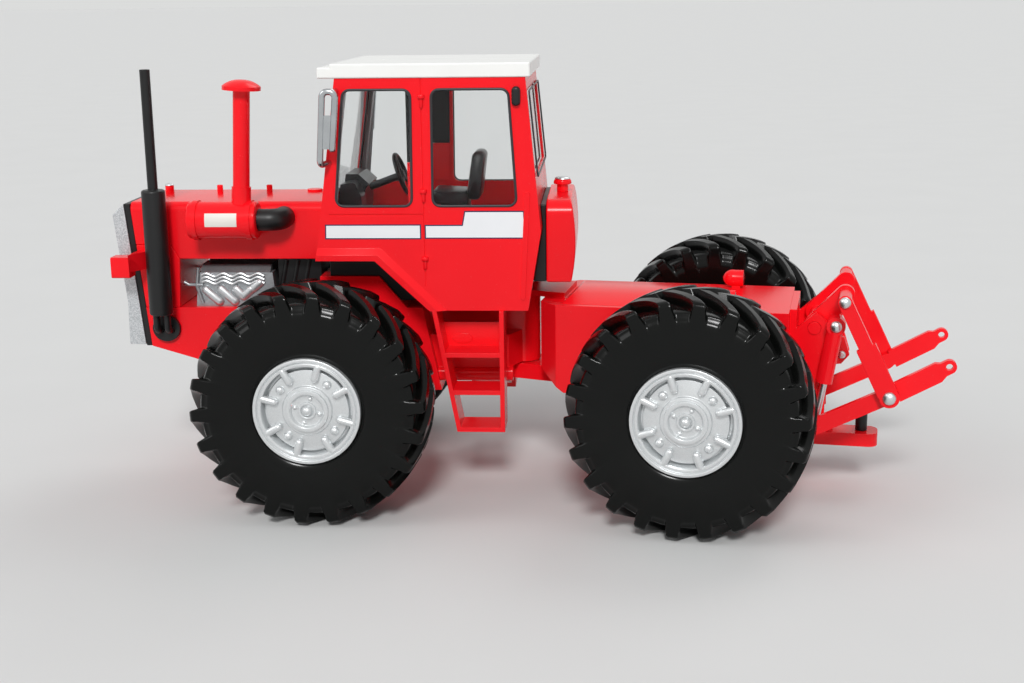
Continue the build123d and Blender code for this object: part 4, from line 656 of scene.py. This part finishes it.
def hinge(t, z):
    # a turned knuckle: a wide collar over a slim barrel, standing on the cab's side
    return turned(t["profile"], (t["x"], -cabFace - t["proud"], z), (0, 0, 1), t["sides"])


pillars = {"lining": [(21.0, 97.0), (26.2, 97.0), (26.0, 80.6), (21.0, 80.6)],
           "flange": [(21.0, 80.55), (26.0, 80.55), (25.9, 70.9), (21.0, 70.9)],
           "frontLining": [(5.2, 97.0), (7.1, 97.0), (4.5, 71.0), (2.0, 71.0)],
           "screen": [(3.58, -22.45, 72.6), (3.58, -20.7, 72.6), (7.02, -20.7, 96.9), (7.02, -22.45, 96.9)],
           "from": -22.78, "to": -22.5, "edge": 0.1, "screenThick": 0.2}
pillarFinish = {"lining": (blackSatin, "dark_trim"), "flange": (redEnamel, "red_paint"),
                "frontLining": (greyLining, "dark_trim")}
for side, place in places:
    piece(f"window_seals_{side}", [place(sideSeal(windows[w])) for w in ("front", "rear")], sealPaint, "front_frame")
    piece(f"door_hinges_{side}", [place(hinge(hinges, z)) for z in hinges["heights"]], redEnamel, "front_frame",
          sharp=60.0)
    for name, (finish, slot) in pillarFinish.items():
        leaf = sidePlate(pillars[name], pillars["from"], pillars["to"], pillars["edge"])
        piece(f"pillar_{name}_{side}", [place(leaf)], finish, "front_frame")
    piece(f"screen_lining_{side}", [place(plate(pillars["screen"], (pillars["screenThick"], 0.0, 0.0)))], greyLining,
          "front_frame")
for name, glass in endGlass.items():
    piece(name, [endSeal(glass)], sealPaint, "front_frame")

seat = {"back": {"side": [(32.6, 69.4), (34.4, 80.9), (37.5, 80.9), (36.1, 69.4)], "corner": 1.3, "half": 5.2,
                 "edge": 0.7},
        "pad": {"side": [(24.2, 71.9), (33.2, 71.4), (33.2, 68.2), (24.2, 68.4)], "corner": 1.2, "half": 5.6,
                "edge": 0.7},
        "foot": {"side": [(26.4, 68.6), (33.0, 68.6), (34.0, 60.32), (25.6, 60.32)], "corner": 0.5, "half": 4.0,
                 "edge": 0.3}}
seatGrids = [sidePlate(roundedLoop(s["side"], s["corner"]), -s["half"], s["half"], s["edge"]) for s in seat.values()]
piece("moulded_seat", seatGrids, cabPlastic, "front_frame", sharp=50.0, nodes=["seat"])

stripe = {"sunk": 0.1, "proud": 0.07, "outline": 0.28,
          "front": [(1.75, 63.2), (1.85, 66.1), (23.7, 66.1), (23.7, 63.2)],
          "rear": [(25.1, 63.3), (25.1, 66.0), (33.7, 66.0), (34.3, 69.2), (47.6, 69.2), (47.9, 63.3)]}


def grown(corners, distance):
    # corners moved outwards by a distance, each along the meeting of its two shifted edges
    corners = np.array(corners, float)
    edge = np.roll(corners, -1, 0) - corners
    edge /= np.linalg.norm(edge, axis=1)[:, None]
    normal = np.stack([-edge[:, 1], edge[:, 0]], -1)
    before = np.roll(normal, 1, 0)
    return corners + distance * (normal + before) / (1 + (normal * before).sum(1))[:, None]


def flatPrint(name, corners, sign, proud, finish):
    # a printed field as a thin closed plate that stands a little proud of the cab's side
    mesh = slabMesh(name, corners, sign * (cabFace - stripe["sunk"]), sign * (cabFace + proud))
    return dress(name, mesh, finish, "front_frame")


for side, sign in sides:
    for field in ("front", "rear"):
        flatPrint(f"stripe_{field}_{side}", stripe[field], sign, stripe["proud"], whitePrint)
        flatPrint(f"stripe_edge_{field}_{side}", grown(stripe[field], stripe["outline"]), sign, stripe["proud"] / 2,
                  navyPrint)
print("cab trim made")


# Hood and engine trim

label = {"x": (-27.3, -19.7), "axis": (-18.05, 66.6), "radius": 4.46, "from": -13.0, "to": 28.5, "thick": 0.1,
         "steps": 9}


def canLabel(t):
    # an arc of the canister's side, as a thin curved plate carried along the canister
    angle = np.radians(np.linspace(t["from"], t["to"], t["steps"]))
    ray = np.stack([-np.cos(angle), np.sin(angle)], -1)
    outer, inner = [np.array(t["axis"]) + radius * ray for radius in (t["radius"], t["radius"] - t["thick"])]
    return prism(np.concatenate([outer, inner[::-1]]), *t["x"])


piece("cleaner_label", [canLabel(label)], labelFoil, "front_frame", sharp=crispAngle)

# painted shade in the grille's slots: dark leaves at the slots' backs make the recesses read as shaded
grilleSlotShade = {"slots": 9, "low": 40.59, "pitch": 2.789, "height": 1.47, "half": 9.84, "depth": 0.84, "thick": 0.15,
              "frontZ": (35.0, 46.0, 67.1), "frontX": (-50.49, -50.30, -52.50)}


def slotShadeLeaves(t):
    # painted shade: a dark leaf on the back of each slot stands for the shade inside the slot; it is set in by the
    # slot's depth from the grille's hollow front line
    leaves = []
    for k in range(t["slots"]):
        low = t["low"] + t["pitch"] * k
        high, half = low + t["height"], t["half"]
        lowX, highX = np.interp((low, high), t["frontZ"], t["frontX"]) + t["depth"]
        corners = [(lowX, -half, low), (lowX, half, low), (highX, half, high), (highX, -half, high)]
        leaves.append(plate(corners, (t["thick"], 0.0, 0.0)))
    return leaves


# the dark leaves paint the shade inside the grille's slots
piece("grille_slot_painted_shade", slotShadeLeaves(grilleSlotShade), blackSatin, "front_frame", sharp=crispAngle)

hoodGasket = {"half": 12.7, "top": 69.8, "low": 56.6, "corner": 2.2, "depth": 0.8,
              "hoodEdge": [(-1.5, 56.3), (-1.1, 70.1)], "cabFront": [(-0.92, 57.9), (4.98, 99.7)]}


def lineAt(z, ends):
    # x at a height on the straight line through two (x, z) points
    (lowX, lowZ), (highX, highZ) = ends
    return lowX + (highX - lowX) * (z - lowZ) / (highZ - lowZ)


def gasketGrid(t):
    # four lines that follow the hood's section between the hood's rear edge and the cab's leaning front, closed at
    # the feet by their mean point
    loops = []
    for inset in (0.0, t["depth"]):
        side, head = t["half"] - inset, t["top"] - inset
        corners = [(-side, t["low"]), (-side, head), (side, head), (side, t["low"])]
        loops.append(roundedLoop(corners, t["corner"] - inset, closed=False))
    outer, inner = loops
    rows = []
    for flat, edge in ((outer, "hoodEdge"), (outer, "cabFront"), (inner, "cabFront"), (inner, "hoodEdge")):
        rows.append(np.stack([lineAt(flat[:, 1], t[edge]), flat[:, 0], flat[:, 1]], -1))
    rows = np.stack(rows)
    ends = rows.mean(0)
    first, last = [np.repeat(ends[None, place], len(rows), 0) for place in (slice(0, 1), slice(-1, None))]
    return np.concatenate([first, rows, last], 1), True, False


piece("hood_gasket", [gasketGrid(hoodGasket)], blackSatin, "front_frame", sharp=crispAngle)

caps = {"filler": {"at": (-44.0, 6.5, 71.9), "radius": 1.15, "height": 0.45},
        "tank": {"at": (56.0, 0.0, 74.0), "radius": 1.9, "height": 0.5}}
capDomes = [dome(c["at"], (0, 0, 1), c["radius"], c["height"], rings=5, count=24) for c in caps.values()]
piece("bright_caps", capDomes, rivetSteel, "front_frame")

engine = {"face": 11.4, "pipeRadius": 1.15, "ribs": (52.15, 51.25, 50.35), "ribX": (-31.8, -16.4), "ribRadius": 0.36,
          "ribProud": 0.45, "ribSwing": 0.38, "ribWaves": 3.6, "ribPoints": 60, "ribSides": 8,
          "cover": [(-11.35, 52.65), (-9.2, 54.4), (-2.7, 54.4), (-2.7, 52.65)],
          "coverX": (-32.2, -15.0), "pipes": [((-31.0, 48.4), (-27.8, 45.6)), ((-27.2, 48.6), (-24.0, 45.6)),
                                              ((-23.4, 48.6), (-21.8, 46.9)), ((-19.8, 48.6), (-21.6, 47.0)),
                                              ((-17.6, 50.2), (-19.2, 48.9))]}


def waveRib(t, z):
    # a round bead that follows a sine wave along the insert's face
    x = np.linspace(*t["ribX"], t["ribPoints"])
    wave = z + t["ribSwing"] * np.sin(2 * math.pi * t["ribWaves"] * (x - x[0]) / (x[-1] - x[0]))
    path = np.stack([x, np.full(t["ribPoints"], -t["face"] - t["ribProud"]), wave], -1)
    return carried(path, roundSection(t["ribRadius"], t["ribSides"]))


for side, place in places:
    ribs = [waveRib(engine, z) for z in engine["ribs"]]
    pipes = [capsule((a[0], -engine["face"], a[1]), (b[0], -engine["face"], b[1]), engine["pipeRadius"])
             for a, b in engine["pipes"]]
    piece(f"manifold_{side}", [place(g) for g in pipes + ribs], reliefSilver, "front_frame")
    piece(f"rocker_cover_{side}", [place(prism(engine["cover"], *engine["coverX"]))], engineSilver, "front_frame",
          sharp=25.0)
print("hood and engine trim made")


# Linkage rivets and tail lamps

rivets = {"lift_arm": {"at": (124.4, 49.6), "y": 18.97, "body": "lift_rocker", "radius": 1.35, "height": 1.0},
          "ram_top": {"at": (122.6, 43.1), "y": 14.90, "body": "lift_rocker", "radius": 1.40, "height": 1.0},
          "ram_foot": {"at": (118.7, 19.3), "y": 14.03, "body": "rear_frame", "radius": 1.20, "height": 0.8},
          "link_front": {"at": (111.0, 15.7), "y": 16.92, "body": "rear_frame", "radius": 1.30, "height": 0.9},
          "link_rod": {"at": (135.0, 27.9), "y": 18.97, "body": "lower_links", "radius": 1.55, "height": 1.0},
          "top_link": {"at": (124.1, 33.8), "y": 3.22, "body": "rear_frame", "radius": 1.00, "height": 0.7}}
for pin, rivet in rivets.items():
    x, z = rivet["at"]
    heads = [dome((x, sign * rivet["y"], z), (0, sign, 0), rivet["radius"], rivet["height"], rings=7)
             for _, sign in sides]
    piece(f"rivet_heads_{pin}", heads, rivetSteel, rivet["body"], rear=True)

tailLens = {"x": 99.4, "y": 13.0, "z": 48.35, "radius": 1.75, "height": 0.4}
lenses = [dome((tailLens["x"], sign * tailLens["y"], tailLens["z"]), (1, 0, 0), tailLens["radius"],
               tailLens["height"], rings=6, count=24) for _, sign in sides]
piece("tail_lamp_lenses", lenses, redLens, "rear_frame", rear=True)
print("rivets and lenses made")


# Stage, light and camera

stage = {"rings": (0.0, 0.3, 1.0, 4.0, 12.0, 40.0), "sides": 64, "floor": ("#D2D2D1", "#D6D6D5"), "grain": 40.0,
         "backdrop": "#DBDCDB", "room": "#F1F3F5", "low": 0.22, "high": 0.60, "highFrom": 0.8}


def makeStage():
    # a pale disc so wide that its edge lies on the horizon: rings that grow outwards from the middle
    angle = ring(stage["sides"])
    radii = np.array(stage["rings"])
    points = np.stack([radii[:, None] * np.cos(angle), radii[:, None] * np.sin(angle),
                       np.zeros((len(radii), len(angle)))], -1)
    mesh = bpy.data.meshes.new("floor")
    mesh.from_pydata(points.reshape(-1, 3).tolist(), [], gridFaces(len(radii), len(angle), False, True, 0).tolist())
    cleaned(mesh)
    # matt paper: an even pale tone with wide faint clouds and almost no shine
    finish, tree, output, place = startFinish("pale_matt_paper")
    grain = addNode(tree, "ShaderNodeTexNoise", {"Vector": place, "Scale": perMetre(stage["grain"]), "Detail": 2.0})
    tone = addNode(tree, "ShaderNodeMix", {"Factor": grain.outputs["Fac"], "A": linear(stage["floor"][0]),
                                           "B": linear(stage["floor"][1])}, data_type="RGBA")
    shader = addNode(tree, "ShaderNodeBsdfPrincipled", {"Base Color": tone.outputs["Result"], "Roughness": 0.9,
                                                        "Specular IOR Level": 0.1})
    tree.links.new(shader.outputs["BSDF"], output.inputs["Surface"])
    mesh.materials.append(finish)
    floor = bpy.data.objects.new("floor", mesh)
    bpy.context.scene.collection.objects.link(floor)


def makeWorld():
    # a studio room: dim at the horizon and bright overhead; seen straight, mirrored or through glass it is a pale
    # wall
    world = bpy.data.worlds.new("studio")
    bpy.context.scene.world = world
    world.use_nodes = True
    tree = world.node_tree
    tree.nodes.clear()
    output = addNode(tree, "ShaderNodeOutputWorld")
    place = addNode(tree, "ShaderNodeTexCoord").outputs["Generated"]
    height = addNode(tree, "ShaderNodeSeparateXYZ", {"Vector": place}).outputs["Z"]
    level = addNode(tree, "ShaderNodeMapRange", {"Value": height, "From Min": 0.0, "From Max": stage["highFrom"],
                                                 "To Min": stage["low"], "To Max": stage["high"]},
                    interpolation_type="SMOOTHSTEP")
    room = addNode(tree, "ShaderNodeBackground", {"Color": linear(stage["room"]),
                                                  "Strength": level.outputs["Result"]})
    wall = addNode(tree, "ShaderNodeBackground", {"Color": linear(stage["backdrop"]), "Strength": 1.0})
    path = addNode(tree, "ShaderNodeLightPath")
    direct = addNode(tree, "ShaderNodeMath", {0: path.outputs["Is Camera Ray"],
                                              1: path.outputs["Is Transmission Ray"]}, operation="MAXIMUM")
    seen = addNode(tree, "ShaderNodeMath", {0: direct.outputs["Value"], 1: path.outputs["Is Glossy Ray"]},
                   operation="MAXIMUM")
    shade = addNode(tree, "ShaderNodeMixShader", {0: seen.outputs["Value"], 1: room.outputs["Background"],
                                                  2: wall.outputs["Background"]})
    tree.links.new(shade.outputs["Shader"], output.inputs["Surface"])


lamps = {"key": {"towards": (0.02, -0.80, 0.60), "strength": 2.0, "spread": 12.0},
         "side": {"towards": (-0.75, -0.35, 0.55), "strength": 0.5, "spread": 30.0},
         "back": {"towards": (0.35, 0.55, 0.75), "strength": 0.5, "spread": 30.0}}


def makeLamps():
    # wide suns, so that the floor is lit evenly and shadows stay soft
    for name, lamp in lamps.items():
        light = bpy.data.lights.new(name, "SUN")
        light.energy = lamp["strength"]
        light.angle = math.radians(lamp["spread"])
        made = bpy.data.objects.new(name, light)
        made.rotation_euler = (-Vector(lamp["towards"])).to_track_quat("-Z", "Y").to_euler()
        bpy.context.scene.collection.objects.link(made)


camera = {"at": (66.56, -348.51, 116.60), "yaw": -3.85, "pitch": 13.48, "roll": -0.70, "focal": 1425.9, "frame": 1024}


def makeCamera():
    # solved from the wheels in the photo: heading, downward pitch and roll in degrees, focal length in pixels
    yaw, pitch, roll = (math.radians(camera[k]) for k in ("yaw", "pitch", "roll"))
    look = np.array([math.sin(yaw) * math.cos(pitch), math.cos(yaw) * math.cos(pitch), -math.sin(pitch)])
    right = np.cross(look, [0, 0, 1])
    right /= np.linalg.norm(right)
    up = np.cross(right, look)
    across = right * math.cos(roll) + up * math.sin(roll)
    rise = up * math.cos(roll) - right * math.sin(roll)
    lens = bpy.data.cameras.new("photo_camera")
    lens.sensor_width = 36.0
    lens.lens = camera["focal"] * lens.sensor_width / camera["frame"]
    lens.clip_start = 0.01
    made = bpy.data.objects.new("photo_camera", lens)
    turn = Matrix([[across[i], rise[i], -look[i]] for i in range(3)])
    made.matrix_world = Matrix.Translation(Vector(toRow(camera["at"]))) @ turn.to_4x4()
    bpy.context.scene.collection.objects.link(made)
    bpy.context.scene.camera = made


makeStage()
makeWorld()
makeLamps()
makeCamera()
bpy.context.scene.view_settings.view_transform = "Standard"
print("stage, light and camera set")
